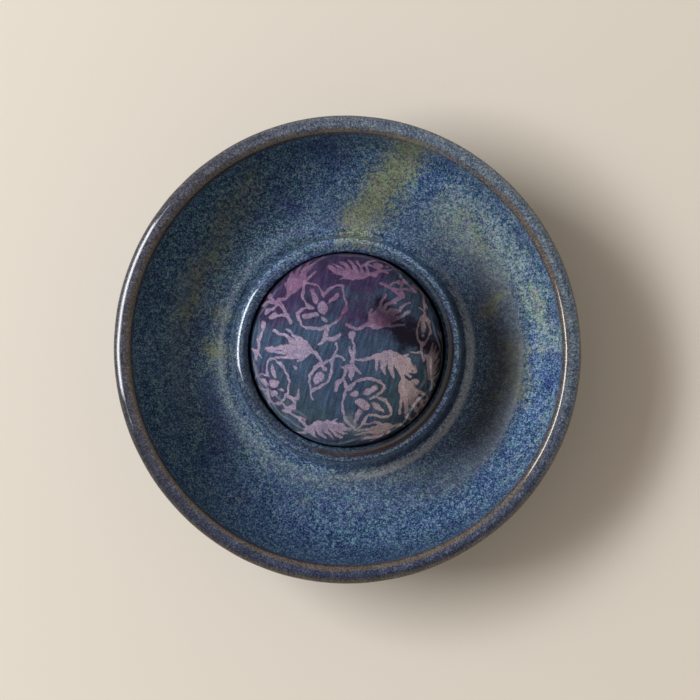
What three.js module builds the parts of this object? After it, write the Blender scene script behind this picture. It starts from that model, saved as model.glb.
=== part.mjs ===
// Pincushion organizer dish: a thrown stoneware dish with a central collar,
// and a gathered batik cushion that drops into the collar.
// Units are millimetres, +Z is up, and the origin is the centre of the foot's resting plane.
import * as THREE from 'three';
import { mergeVertices } from 'three/addons/utils/BufferGeometryUtils.js';

// ---------------------------------------------------------------- driving dimensions
const SEGMENTS = 48;            // facets round every turned form

// dish, overall
const RIM_RADIUS = 65.0;        // widest point of the rim
const RIM_HEIGHT = 30.0;        // crest of the rim above the table
const RIM_CREST_RADIUS = 62.7;
const RIM_INNER_RADIUS = 60.6;  // edge where the glaze breaks brown
const MOUTH_RADIUS = 59.8;      // trough wall just below that edge

// foot ring, turned on the wheel and left bare
const FOOT_INNER_RADIUS = 38.2;
const FOOT_OUTER_RADIUS = 41.8;
const FOOT_RECESS = 2.4;        // underside of the floor above the table

// annular trough for pins and small notions
const TROUGH_FLOOR_Z = 7.0;
const TROUGH_FLOOR_RADIUS = 37.0;

// central collar
const COLLAR_HEIGHT = 26.5;     // crest of the collar's lip above the table
const COLLAR_CREST_RADIUS = 29.7;
const COLLAR_LIP_RADIUS = 31.2; // outside of the rolled lip
const COLLAR_WAIST_RADIUS = 31.0;
const COLLAR_BASE_RADIUS = 32.8;
const WELL_RADIUS = 27.8;       // bore of the collar
const WELL_FLOOR_Z = 8.0;

// cushion
const SEAT_GAP = 0.3;           // cushion's flat bottom above the well floor
const CUSHION_RADIUS = 26.9;
const CUSHION_TOP_Z = 33.4;
const CLOTH = 0.7;              // cover with its turned-in layer
const CUSHION_BOTTOM_Z = WELL_FLOOR_Z + SEAT_GAP;
const GATHER_HOLE_RADIUS = 9.0; // mouth left where the gathers meet
const CARD_RADIUS = 22.0;
const CARD_THICKNESS = 1.4;
const THREAD_RING_RADIUS = 8.3;
const THREAD_RADIUS = 0.3;
const CLEARANCE = 0.35;         // between pieces that touch on the real thing

// ---------------------------------------------------------------- helpers
const v = (r, z) => new THREE.Vector2(r, z);

// Merges the seam and the points on the axis, and drops the triangles that collapse there.
function weld(geometry) {
  geometry.deleteAttribute('normal');
  geometry.deleteAttribute('uv');
  const merged = mergeVertices(geometry, 1e-4);
  const index = merged.getIndex().array;
  const kept = [];
  for (let i = 0; i < index.length; i += 3) {
    const [a, b, c] = [index[i], index[i + 1], index[i + 2]];
    if (a !== b && b !== c && c !== a) kept.push(a, b, c);
  }
  merged.setIndex(kept);
  merged.computeVertexNormals();
  return merged;
}

// Turns a profile of (radius, height) points about the vertical axis.
function turned(profile, segments = SEGMENTS) {
  const points = profile.map(([r, z]) => v(r, z));
  const geometry = new THREE.LatheGeometry(points, segments);
  geometry.rotateX(Math.PI / 2);
  return weld(geometry);
}

function mesh(name, geometry, color, roughness, metalness = 0) {
  const m = new THREE.Mesh(geometry, new THREE.MeshStandardMaterial({ color, roughness, metalness }));
  m.name = name;
  return m;
}

// ---------------------------------------------------------------- stoneware dish
// One thrown, trimmed and glazed piece: foot ring, floor, flared wall, rim, trough and collar.
const dishProfile = [
  [0, FOOT_RECESS],
  [FOOT_INNER_RADIUS - 1.6, FOOT_RECESS],
  [FOOT_INNER_RADIUS - 0.5, 0.5],
  [FOOT_INNER_RADIUS, 0],
  [FOOT_OUTER_RADIUS, 0],
  [FOOT_OUTER_RADIUS + 0.7, 0.6],
  [FOOT_OUTER_RADIUS + 1.0, 2.6],
  [46.6, 4.4],
  [51.4, 7.6],
  [56.0, 12.0],
  [59.7, 17.0],
  [62.4, 22.0],
  [64.2, 26.0],
  [RIM_RADIUS, 28.3],
  [64.5, RIM_HEIGHT - 0.6],
  [63.7, RIM_HEIGHT - 0.1],
  [RIM_CREST_RADIUS, RIM_HEIGHT],
  [61.4, RIM_HEIGHT - 0.25],
  [RIM_INNER_RADIUS, RIM_HEIGHT - 0.9],
  [MOUTH_RADIUS, RIM_HEIGHT - 3.2],
  [58.6, 22.4],
  [56.6, 18.0],
  [53.6, 13.8],
  [49.6, 10.4],
  [45.0, 8.2],
  [41.0, 7.2],
  [TROUGH_FLOOR_RADIUS, TROUGH_FLOOR_Z],
  [34.8, 7.9],
  [33.3, 9.9],
  [COLLAR_BASE_RADIUS - 0.3, 13.0],
  [31.7, COLLAR_HEIGHT - 5.5],
  [COLLAR_WAIST_RADIUS, COLLAR_HEIGHT - 2.6],
  [COLLAR_LIP_RADIUS, COLLAR_HEIGHT - 1.7],
  [30.7, COLLAR_HEIGHT - 0.4],
  [COLLAR_CREST_RADIUS, COLLAR_HEIGHT],
  [28.7, COLLAR_HEIGHT - 0.4],
  [28.1, COLLAR_HEIGHT - 1.8],
  [WELL_RADIUS, COLLAR_HEIGHT - 4.0],
  [WELL_RADIUS, WELL_FLOOR_Z + 2.0],
  [26.6, WELL_FLOOR_Z + 0.5],
  [25.2, WELL_FLOOR_Z],
  [0, WELL_FLOOR_Z],
];

// ---------------------------------------------------------------- cushion cover
// A gathered cotton round: domed outside, flat underneath, open where the gathers meet.
const coverOutside = [
  [0, CUSHION_TOP_Z],
  [6.0, CUSHION_TOP_Z - 0.35],
  [12.0, CUSHION_TOP_Z - 1.5],
  [17.5, CUSHION_TOP_Z - 3.5],
  [22.0, CUSHION_TOP_Z - 6.3],
  [25.0, CUSHION_TOP_Z - 9.6],
  [CUSHION_RADIUS - 0.3, CUSHION_TOP_Z - 12.4],
  [CUSHION_RADIUS, CUSHION_TOP_Z - 15.4],
  [CUSHION_RADIUS - 0.3, CUSHION_BOTTOM_Z + 5.2],
  [25.3, CUSHION_BOTTOM_Z + 2.0],
  [23.6, CUSHION_BOTTOM_Z + 0.5],
  [21.8, CUSHION_BOTTOM_Z],
];

// The same line moved in by a distance, point by point along its own normal.
function inset(line, d) {
  return line.map(([r, z], i) => {
    const [r0, z0] = line[Math.max(i - 1, 0)];
    const [r1, z1] = line[Math.min(i + 1, line.length - 1)];
    const length = Math.hypot(r1 - r0, z1 - z0);
    if (i === 0) return [0, z - d];
    if (i === line.length - 1) return [r, z + d];
    return [r + (d * (z1 - z0)) / length, z - (d * (r1 - r0)) / length];
  });
}

const coverInside = inset(coverOutside, CLOTH);
const coverProfile = [
  ...coverOutside,
  [GATHER_HOLE_RADIUS, CUSHION_BOTTOM_Z],
  [GATHER_HOLE_RADIUS, CUSHION_BOTTOM_Z + CLOTH],
  ...coverInside.slice().reverse(),
];

// ---------------------------------------------------------------- stiffening card
const cardBottom = CUSHION_BOTTOM_Z + CLOTH + CLEARANCE;
const cardTop = cardBottom + CARD_THICKNESS;
const cardProfile = [
  [0, cardBottom],
  [CARD_RADIUS, cardBottom],
  [CARD_RADIUS, cardTop],
  [0, cardTop],
];

// ---------------------------------------------------------------- stuffing
// The wad of fibre above the card, a little inside the cover.
const stuffingBottom = cardTop + CLEARANCE;
const stuffingOutside = inset(coverOutside, CLOTH + CLEARANCE)
  .filter(([, z]) => z > stuffingBottom + 0.6);
const stuffingProfile = [
  ...stuffingOutside,
  [23.6, stuffingBottom],
  [0, stuffingBottom],
];

// ---------------------------------------------------------------- gathering thread
// The drawn-up ring of thread inside the mouth of the gathers.
function threadRing() {
  const geometry = new THREE.TorusGeometry(THREAD_RING_RADIUS, THREAD_RADIUS, 8, 32);
  geometry.translate(0, 0, CUSHION_BOTTOM_Z + CLOTH / 2);
  return weld(geometry);
}

// ---------------------------------------------------------------- assembly
// Profiles that run down the outside are reversed, so that every face points out.
const dish = mesh('stoneware_dish', turned(dishProfile), 0x3b5268, 0.3);
const cover = mesh('cushion_cover', turned(coverProfile.slice().reverse()), 0x51607d, 0.9);
const stuffing = mesh('cushion_stuffing', turned(stuffingProfile.slice().reverse()), 0xe9e4da, 1.0);
const card = mesh('cushion_base_card', turned(cardProfile), 0x9a8d78, 0.9);
const thread = mesh('gathering_thread', threadRing(), 0x2e3a55, 0.8);

const cushion = new THREE.Group();
cushion.add(cover, stuffing, card, thread);

const object = new THREE.Group();
object.add(dish, cushion);

export default object;
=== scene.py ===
"""Looks of the pincushion dish: a glazed stoneware dish with a collar, and a gathered batik cushion in it."""

import math

import bpy
import numpy as np
from mathutils import Matrix, Vector


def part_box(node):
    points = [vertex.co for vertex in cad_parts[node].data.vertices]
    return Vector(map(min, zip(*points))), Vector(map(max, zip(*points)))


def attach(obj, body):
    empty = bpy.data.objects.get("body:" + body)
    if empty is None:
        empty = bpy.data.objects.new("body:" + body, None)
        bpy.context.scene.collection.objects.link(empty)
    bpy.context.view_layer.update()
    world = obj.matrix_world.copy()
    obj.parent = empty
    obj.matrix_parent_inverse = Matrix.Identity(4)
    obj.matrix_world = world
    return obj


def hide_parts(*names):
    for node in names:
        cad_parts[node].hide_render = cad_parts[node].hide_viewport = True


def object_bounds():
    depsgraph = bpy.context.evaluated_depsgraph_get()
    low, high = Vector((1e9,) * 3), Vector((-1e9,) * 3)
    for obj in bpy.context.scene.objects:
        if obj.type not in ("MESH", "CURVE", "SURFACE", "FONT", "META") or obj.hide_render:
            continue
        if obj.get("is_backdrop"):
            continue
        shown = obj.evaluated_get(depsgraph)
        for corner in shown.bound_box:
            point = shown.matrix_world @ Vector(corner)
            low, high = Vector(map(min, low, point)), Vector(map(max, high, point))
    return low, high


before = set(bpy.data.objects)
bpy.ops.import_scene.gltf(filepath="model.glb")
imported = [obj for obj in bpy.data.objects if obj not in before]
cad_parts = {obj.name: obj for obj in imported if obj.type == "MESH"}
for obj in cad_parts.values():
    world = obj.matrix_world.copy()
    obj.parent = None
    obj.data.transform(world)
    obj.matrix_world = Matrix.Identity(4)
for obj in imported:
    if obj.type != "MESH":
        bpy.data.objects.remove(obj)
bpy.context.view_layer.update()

MM = 0.001
TAU = 2 * math.pi

# ---------------------------------------------------------------- camera
# Straight overhead with a slight tilt, framed as in the photograph.
PX_PER_MM = 3.594
DISH_PX = (346.74, 349.33)
TILT = math.radians(2.0)
DISTANCE = 900.0
TARGET = ((350 - DISH_PX[0]) / PX_PER_MM, (DISH_PX[1] - 350) / PX_PER_MM, 27.5)

camera_data = bpy.data.cameras.new("camera")
camera = bpy.data.objects.new("camera", camera_data)
bpy.context.scene.collection.objects.link(camera)
bpy.context.scene.camera = camera
camera_data.sensor_width = 36
camera_data.lens = 36 * DISTANCE / (700 / PX_PER_MM)
camera_data.clip_start, camera_data.clip_end = 0.05, 10
camera.location = Vector((TARGET[0], TARGET[1] - math.sin(TILT) * DISTANCE, TARGET[2] + math.cos(TILT) * DISTANCE)) * MM
camera.rotation_euler = (TILT, 0, 0)


def picture(x, y, z):
    """Where points in mm fall in the 700 x 700 frame, for placing patches of colour as seen from above."""
    dx, dy, dz = x - TARGET[0], y - TARGET[1], z - TARGET[2]
    up = dy * math.cos(TILT) + dz * math.sin(TILT)
    depth = DISTANCE - (dz * math.cos(TILT) - dy * math.sin(TILT))
    k = PX_PER_MM * DISTANCE / depth
    return 350 + dx * k, 350 - up * k


# ---------------------------------------------------------------- light and floor
def area_light(name, azimuth, elevation, distance, half_az, half_el, energy, colour):
    a, e = math.radians(azimuth), math.radians(elevation)
    z = Vector((math.cos(a) * math.cos(e), math.sin(a) * math.cos(e), math.sin(e)))
    x = Vector((-math.sin(a), math.cos(a), 0))
    y = z.cross(x)
    data = bpy.data.lights.new(name, "AREA")
    data.shape = "RECTANGLE"
    data.size = 2 * distance * math.cos(e) * math.tan(math.radians(half_az))
    data.size_y = 2 * distance * math.tan(math.radians(half_el))
    data.energy = energy
    data.color = colour
    light = bpy.data.objects.new(name, data)
    bpy.context.scene.collection.objects.link(light)
    p = z * distance
    light.matrix_world = Matrix(((x.x, y.x, z.x, p.x), (x.y, y.y, z.y, p.y), (x.z, y.z, z.z, p.z), (0, 0, 0, 1)))
    return light


# a broad soft source from the left, with a brighter middle
area_light("key", 167, 43, 1.5, 24, 11, 13.4, (0.96, 1.0, 1.04))
area_light("key_core", 167, 43, 1.49, 22, 4.5, 9.0, (0.96, 1.0, 1.04))


# ---------------------------------------------------------------- node helpers
class Nodes:
    """Short calls for building a node tree."""

    def __init__(self, tree):
        self.tree = tree
        tree.nodes.clear()

    def node(self, kind, **props):
        n = self.tree.nodes.new(kind)
        for k, v in props.items():
            setattr(n, k, v)
        return n

    def put(self, socket, value):
        if value is None:
            return
        if isinstance(value, bpy.types.NodeSocket):
            self.tree.links.new(value, socket)
        elif hasattr(socket.default_value, "__len__"):
            n = len(socket.default_value)
            if isinstance(value, (int, float)):
                value = (value,) * n
            value = tuple(value)
            socket.default_value = value + (1.0,) * (n - len(value))
        else:
            socket.default_value = value

    def math(self, op, a, b=None, c=None, clamp=False):
        n = self.node("ShaderNodeMath", operation=op, use_clamp=clamp)
        for s, v in zip(n.inputs, (a, b, c)):
            self.put(s, v)
        return n.outputs[0]

    def vmath(self, op, a, b=None):
        n = self.node("ShaderNodeVectorMath", operation=op)
        self.put(n.inputs[0], a)
        if op == "SCALE":
            self.put(n.inputs[3], b)
        else:
            self.put(n.inputs[1], b)
        return n.outputs[0]

    def mix(self, factor, a, b, blend="MIX"):
        n = self.node("ShaderNodeMix", data_type="RGBA", blend_type=blend, clamp_factor=True)
        self.put(n.inputs[0], factor)
        self.put(n.inputs[6], a)
        self.put(n.inputs[7], b)
        return n.outputs[2]

    def lerp(self, factor, a, b):
        n = self.node("ShaderNodeMix", data_type="FLOAT", clamp_factor=True)
        self.put(n.inputs[0], factor)
        self.put(n.inputs[2], a)
        self.put(n.inputs[3], b)
        return n.outputs[0]

    def ramp(self, value, stops, mode="LINEAR"):
        n = self.node("ShaderNodeValToRGB")
        n.color_ramp.interpolation = mode
        e = n.color_ramp.elements
        while len(e) < len(stops):
            e.new(0.5)
        for el, (p, c) in zip(e, stops):
            el.position = p
            el.color = tuple(c) + (1,) if hasattr(c, "__len__") else (c, c, c, 1)
        self.put(n.inputs[0], value)
        return n.outputs[0]

    def step(self, value, low, high, a=0.0, b=1.0):
        n = self.node("ShaderNodeMapRange", interpolation_type="SMOOTHSTEP", clamp=True)
        for s, v in zip(n.inputs, (value, low, high, a, b)):
            self.put(s, v)
        return n.outputs[0]

    def noise(self, vector, scale, detail=2.0, rough=0.5, distortion=0.0):
        n = self.node("ShaderNodeTexNoise", noise_dimensions="3D")
        self.put(n.inputs["Vector"], vector)
        for k, v in (("Scale", scale), ("Detail", detail), ("Roughness", rough), ("Distortion", distortion)):
            n.inputs[k].default_value = v
        return n.outputs[0]

    def cells(self, vector, scale, feature="F1", output=0, random=1.0):
        n = self.node("ShaderNodeTexVoronoi", feature=feature)
        self.put(n.inputs["Vector"], vector)
        n.inputs["Scale"].default_value = scale
        n.inputs["Randomness"].default_value = random
        return n.outputs[output]

    def attribute(self, name, output=2):
        n = self.node("ShaderNodeAttribute", attribute_type="GEOMETRY", attribute_name=name)
        return n.outputs[output]

    def xyz(self, vector):
        n = self.node("ShaderNodeSeparateXYZ")
        self.put(n.inputs[0], vector)
        return n.outputs

    def bump(self, height, distance, strength=1.0, normal=None):
        n = self.node("ShaderNodeBump")
        n.inputs["Strength"].default_value = strength
        n.inputs["Distance"].default_value = distance
        self.put(n.inputs["Height"], height)
        if normal is not None:
            self.put(n.inputs["Normal"], normal)
        return n.outputs[0]


def material(name):
    m = bpy.data.materials.new(name)
    m.use_nodes = True
    n = Nodes(m.node_tree)
    out = n.node("ShaderNodeOutputMaterial")
    shader = n.node("ShaderNodeBsdfPrincipled")
    m.node_tree.links.new(shader.outputs[0], out.inputs[0])
    return m, n, shader.inputs


# world: soft warm daylight, brightest in a wide glow round the key, dimmer overhead
world = bpy.data.worlds.new("world")
bpy.context.scene.world = world
world.use_nodes = True
w = Nodes(world.node_tree)
w_out = w.node("ShaderNodeOutputWorld")
w_bg = w.node("ShaderNodeBackground")
world.node_tree.links.new(w_bg.outputs[0], w_out.inputs[0])
w_vector = w.node("ShaderNodeTexCoord").outputs["Generated"]
w_dir = w.xyz(w_vector)
w_dot = w.node("ShaderNodeVectorMath", operation="DOT_PRODUCT")
w.put(w_dot.inputs[0], w_vector)
w.put(w_dot.inputs[1], (-0.600, 0.1385, 0.788))
w_base = w.step(w_dir[2], 0.1, 0.9, 0.66, 0.20)
w_level = w.math("ADD", w_base, w.step(w_dot.outputs[1], 0.70, 0.97, 0.0, 0.26))
w.put(w_bg.inputs[0], (1.0, 0.91, 0.82))
w.put(w_bg.inputs[1], w_level)

bpy.context.scene.view_settings.view_transform = "Standard"
bpy.context.scene.view_settings.look = "None"
bpy.context.scene.view_settings.exposure = 0.0
bpy.context.scene.view_settings.gamma = 1.0


# ---------------------------------------------------------------- mesh helpers
def smooth(a, b, v):
    t = np.clip((np.asarray(v, float) - a) / (b - a), 0, 1)
    return t * t * (3 - 2 * t)


def lattice(ix, iy, iz, seed):
    n = (ix * 1619 + iy * 31337 + iz * 6971 + seed * 1013) & 0x7FFFFFFF
    n = (n >> 13) ^ n
    n = (n * ((n * n * 15731 & 0x7FFFFFFF) + 789221) + 1376312589) & 0x7FFFFFFF
    return n / 1073741824.0 - 1.0


def noise3(p, seed=0):
    """Smooth noise from -1 to 1 at points p, one cell to a unit."""
    p = np.asarray(p, float)
    i = np.floor(p).astype(np.int64)
    f = p - i
    f = f * f * f * (f * (f * 6 - 15) + 10)
    total = 0.0
    for dx in (0, 1):
        for dy in (0, 1):
            for dz in (0, 1):
                weight = (f[..., 0] if dx else 1 - f[..., 0]) * (f[..., 1] if dy else 1 - f[..., 1]) * (f[..., 2] if dz else 1 - f[..., 2])
                total = total + weight * lattice(i[..., 0] + dx, i[..., 1] + dy, i[..., 2] + dz, seed)
    return total


def fractal(p, seed=0, octaves=3):
    total, amp, norm = 0.0, 1.0, 0.0
    q = np.asarray(p, float)
    for k in range(octaves):
        total = total + amp * noise3(q, seed + 17 * k)
        norm += amp
        amp *= 0.5
        q = q * 2.03 + 11.7
    return total / norm


def spline(points):
    """Centripetal Catmull-Rom through (r, z, steps) points: steps is how many pieces follow that point."""
    pts = np.array([p[:2] for p in points], float)
    pts = np.vstack([2 * pts[0] - pts[1], pts, 2 * pts[-1] - pts[-2]])
    out = []
    for i in range(1, len(pts) - 2):
        p0, p1, p2, p3 = pts[i - 1], pts[i], pts[i + 1], pts[i + 2]
        t0 = 0.0
        t1 = t0 + math.sqrt(np.linalg.norm(p1 - p0)) + 1e-9
        t2 = t1 + math.sqrt(np.linalg.norm(p2 - p1)) + 1e-9
        t3 = t2 + math.sqrt(np.linalg.norm(p3 - p2)) + 1e-9
        steps = int(points[i - 1][2])
        for k in range(steps):
            t = t1 + (t2 - t1) * k / steps
            a1 = (t1 - t) / (t1 - t0) * p0 + (t - t0) / (t1 - t0) * p1
            a2 = (t2 - t) / (t2 - t1) * p1 + (t - t1) / (t2 - t1) * p2
            a3 = (t3 - t) / (t3 - t2) * p2 + (t - t2) / (t3 - t2) * p3
            b1 = (t2 - t) / (t2 - t0) * a1 + (t - t0) / (t2 - t0) * a2
            b2 = (t3 - t) / (t3 - t1) * a2 + (t - t1) / (t3 - t1) * a3
            out.append((t2 - t) / (t2 - t1) * b1 + (t - t1) / (t2 - t1) * b2)
    out.append(pts[-2])
    return np.array(out)


def build(name, co, faces, body, mat, smooth_shade=True):
    """A mesh object from coordinates in mm. faces is a list of arrays of quads or triangles."""
    me = bpy.data.meshes.new(name)
    co = np.asarray(co, float) * MM
    me.vertices.add(len(co))
    me.vertices.foreach_set("co", co.astype(np.float32).ravel())
    loops = np.concatenate([f.ravel() for f in faces])
    sizes = np.concatenate([np.full(len(f), f.shape[1]) for f in faces])
    starts = np.concatenate([[0], np.cumsum(sizes)[:-1]])
    me.loops.add(len(loops))
    me.loops.foreach_set("vertex_index", loops.astype(np.int32))
    me.polygons.add(len(sizes))
    me.polygons.foreach_set("loop_start", starts.astype(np.int32))
    me.polygons.foreach_set("use_smooth", np.full(len(sizes), smooth_shade))
    me.update(calc_edges=True)
    me.validate()
    ob = bpy.data.objects.new(name, me)
    bpy.context.scene.collection.objects.link(ob)
    if mat:
        me.materials.append(mat)
    if body:
        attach(ob, body)
    return ob


def floats(ob, name, values):
    at = ob.data.attributes.new(name, "FLOAT", "POINT")
    at.data.foreach_set("value", np.asarray(values, np.float32).ravel())


def vectors(ob, name, values):
    at = ob.data.attributes.new(name, "FLOAT_VECTOR", "POINT")
    at.data.foreach_set("vector", np.asarray(values, np.float32).ravel())


def ring_faces(rows, n, first=0, flip=False):
    """Quads between rows of n points, closed round."""
    i, k = np.meshgrid(np.arange(rows - 1), np.arange(n), indexing="ij")
    a = first + i * n + k
    b = first + i * n + (k + 1) % n
    q = np.stack([a, b, b + n, a + n], -1).reshape(-1, 4)
    return q[:, ::-1] if flip else q


def fan(centre, first, n, flip=False):
    k = np.arange(n)
    t = np.stack([np.full(n, centre), first + k, first + (k + 1) % n], -1)
    return t[:, ::-1] if flip else t


# ---------------------------------------------------------------- floor
floor_mat, n, s = material("floor")
n.put(s["Base Color"], (0.735, 0.665, 0.575))
n.put(s["Roughness"], 0.95)
n.put(s["Specular IOR Level"], 0.15)
floor = build("floor", np.array([(-900, -900, 0), (900, -900, 0), (900, 900, 0), (-900, 900, 0)]), [np.array([[0, 1, 2, 3]])], None, floor_mat)
floor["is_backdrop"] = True


# ---------------------------------------------------------------- stoneware dish
SEG = 400
# Section, from the middle of the underside out over the foot, wall, rim, trough and collar to the middle of the well.
DISH = [
    (2.0, 2.42, 3), (12, 2.38, 3), (24, 2.42, 3), (33, 2.4, 2), (35.9, 2.25, 3), (36.9, 1.55, 3), (37.5, 0.75, 2), (37.85, 0.2, 2), (38.35, 0.0, 2),
    (40.0, 0.0, 2), (41.5, 0.0, 2), (41.95, 0.12, 2), (42.3, 0.5, 2), (42.55, 1.2, 3), (42.7, 2.0, 2), (42.78, 2.42, 2), (43.1, 2.62, 2), (43.32, 2.95, 2), (43.9, 3.2, 3),
    (46.6, 4.4, 4), (51.4, 7.6, 5), (56.0, 12.0, 5), (59.7, 17.0, 5), (62.4, 22.0, 4), (64.1, 25.8, 3), (64.75, 27.2, 3), (64.98, 28.15, 3), (64.86, 28.75, 3),
    (64.6, 29.14, 3), (64.27, 29.38, 3), (63.87, 29.58, 3), (63.4, 29.76, 3), (62.9, 29.89, 3), (62.4, 29.97, 3), (61.9, 30.0, 3), (61.5, 29.97, 3), (61.15, 29.9, 3), (60.82, 29.78, 3),
    (60.5, 29.6, 3), (60.22, 29.35, 3), (59.98, 28.98, 3), (59.8, 28.45, 3), (59.68, 27.7, 3), (59.45, 26.0, 3), (58.5, 22.4, 4), (56.6, 18.0, 5), (53.6, 13.8, 5), (49.6, 10.4, 5), (45.0, 8.2, 4), (41.0, 7.2, 3),
    (38.2, 6.98, 2), (36.8, 7.05, 2), (35.8, 7.3, 2), (34.9, 7.85, 2), (34.2, 8.7, 3), (33.6, 9.9, 3), (33.0, 11.8, 3), (32.5, 14.4, 3), (32.1, 17.4, 3), (31.7, 20.6, 3),
    (31.3, 22.7, 3), (31.05, 23.6, 3), (31.0, 24.1, 3), (31.14, 24.6, 3), (31.27, 25.05, 3), (31.24, 25.45, 3), (31.06, 25.7, 3), (30.8, 25.87, 3), (30.5, 26.04, 3), (30.2, 26.18, 3),
    (29.9, 26.29, 3), (29.6, 26.37, 3), (29.3, 26.43, 3), (29.0, 26.45, 3), (28.72, 26.37, 3), (28.4, 26.16, 3), (28.06, 25.8, 3), (27.78, 25.3, 3), (27.58, 24.7, 3), (27.5, 23.8, 3),
    (27.5, 22.2, 3), (27.64, 20.0, 4), (27.8, 14.0, 3), (27.72, 10.8, 3),
    (27.35, 9.4, 2), (26.6, 8.55, 2), (25.5, 8.1, 2), (24.0, 8.0, 3), (16, 8.0, 2), (8, 8.0, 2), (2, 8.0, 1),
]
prof = spline(DISH)
rows = len(prof)
ang = np.arange(SEG) / SEG * TAU
R, T = np.meshgrid(prof[:, 0], ang, indexing="ij")
Z = np.repeat(prof[:, 1][:, None], SEG, 1)
arc = np.concatenate([[0], np.cumsum(np.linalg.norm(np.diff(prof, axis=0), axis=1))])
A = np.repeat(arc[:, None], SEG, 1)
up = np.gradient(prof[:, 1]), np.gradient(prof[:, 0])
length = np.hypot(*up)
NR = np.repeat((up[0] / length)[:, None], SEG, 1)       # outward normal of the section
NZ = np.repeat((-up[1] / length)[:, None], SEG, 1)
row_rim = int(np.argmax(prof[:, 1]))                    # crest of the rim
inside = np.arange(rows)[:, None] >= row_rim
inside = np.repeat(inside, SEG, 1)
turn = np.exp(1j * T)
ux, uy = turn.real, turn.imag

# a thrown pot is never quite round or level
img = -np.degrees(T)                                    # picture angle, clockwise from the right
ti = np.radians(img)
wav = 0.25 * np.cos(2 * (ti - math.radians(38))) + 0.08 * np.sin(3 * T + 0.7)
wav += 0.064 + 0.105 * np.cos(ti - 0.10) + 0.153 * np.cos(2 * ti + 2.76) + 0.135 * np.cos(3 * ti - 1.40) + 0.044 * np.cos(4 * ti - 1.27)
lift = smooth(10, 30, Z) * (0.14 * np.sin(T + 0.6) + 0.12 * np.sin(2 * T + 2.1) + 0.06 * np.sin(5 * T + 0.3))
out_part = smooth(36, 60, R)
dr = wav * out_part + 0.12 * np.sin(2 * T + 1.0) * (1 - out_part) * smooth(8, 20, Z)
# soft throwing rings in the trough and on the wall
rings = 0.035 * np.sin(TAU * R / 2.3 + 0.8 * np.sin(T + 1)) * smooth(36.5, 39, R) * smooth(60, 56, R) * inside
rings += 0.03 * np.sin(TAU * A / 3.1 + 0.6 * np.sin(T)) * (~inside) * smooth(45, 48, R) * smooth(64, 61, R)
soft = 0.05 * noise3(np.stack([ux * R / 6.0, uy * R / 6.0, Z / 6.0], -1), 3) * smooth(0.5, 3, Z)
# trimming marks on the bare foot
trim = 0.018 * np.sin(TAU * A / 0.55) * smooth(3.0, 2.2, Z) * smooth(0.3, 0.8, Z)
d = rings + soft + trim
# glaze ends in a slightly wavy rolled edge above the foot
ends = (~inside) & (R > 42.6) & (Z < 4.2)
wave = 0.28 * np.sin(3 * T + 0.4) + 0.18 * np.sin(8 * T + 1.9) + 0.12 * np.sin(17 * T)
Z2 = np.maximum(Z + lift + d * NZ + np.where(ends, wave * smooth(1.2, 2.4, Z) * smooth(4.2, 3.2, Z), 0), 0)
R2 = R + dr + d * NR
X, Y = R2 * ux, R2 * uy
co = np.stack([X, Y, Z2], -1).reshape(-1, 3)
co = np.vstack([co, [(0, 0, 2.42), (0, 0, 8.0)]])
last = rows * SEG
dish_faces = [ring_faces(rows, SEG), fan(last, 0, SEG, flip=True), fan(last + 1, (rows - 1) * SEG, SEG)]

# where each point is seen in the picture, which places the patches of colour
PX, PY = picture(X, Y, Z2)
warp = 5.0 * fractal(np.stack([PX / 24, PY / 24, np.zeros_like(PX)], -1), 5)
warp2 = 5.0 * fractal(np.stack([PX / 24 + 40, PY / 24, np.zeros_like(PX)], -1), 9)
WX, WY = PX + warp, PY + warp2


def lobe(path, width, edge=6.0):
    """Soft patch along a path of picture points."""
    best = np.full(PX.shape, 1e9)
    pts = np.array(path, float)
    if len(pts) == 1:
        best = np.hypot(WX - pts[0, 0], WY - pts[0, 1])
    for (ax, ay), (bx, by) in zip(pts[:-1], pts[1:]):
        vx, vy = bx - ax, by - ay
        t = np.clip(((WX - ax) * vx + (WY - ay) * vy) / (vx * vx + vy * vy), 0, 1)
        best = np.minimum(best, np.hypot(WX - ax - t * vx, WY - ay - t * vy))
    return 0.75 * smooth(width + 1.9 * edge, width - 1.6 * edge, best) + 0.25 * smooth(width + edge, width - edge, best)


def patches(items, soft=1.0):
    total = np.zeros(PX.shape)
    for path, width, edge, weight in items:
        total = np.maximum(total, weight * lobe(path, width - 0.25 * edge * (soft - 1), edge * soft))
    return total


olive = patches([
    ([(412, 146), (391, 176), (357, 226)], 17, 9, 1.0), ([(384, 180), (374, 196)], 8, 6, 1.2),
    ([(250, 178), (245, 194), (221, 227), (211, 257), (199, 271), (187, 308)], 11, 8, 0.55),
    ([(196, 276)], 9, 6, 0.9), ([(184, 315)], 8, 6, 0.8), ([(215, 344), (218, 356)], 8, 6, 0.9), ([(223, 315)], 7, 5, 0.7),
    ([(499, 296), (490, 312)], 10, 7, 0.8), ([(514, 350), (512, 374), (520, 394)], 10, 9, 0.75), ([(535, 350)], 7, 8, 0.6), ([(490, 420)], 9, 9, 0.35), ([(498, 400), (505, 365)], 8, 8, 0.45),
    ([(339, 481)], 4, 6, 0.4), ([(353, 508)], 6, 8, 0.35), ([(424, 494)], 5, 8, 0.3), ([(453, 498)], 5, 8, 0.25), ([(340, 211)], 4, 4, 0.6),
    ([(467, 215), (478, 250)], 9, 8, 0.55), ([(530, 292), (540, 318)], 8, 7, 0.5), ([(243, 500)], 8, 7, 0.3), ([(306, 500)], 5, 5, 0.4),
], 1.55)
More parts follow.
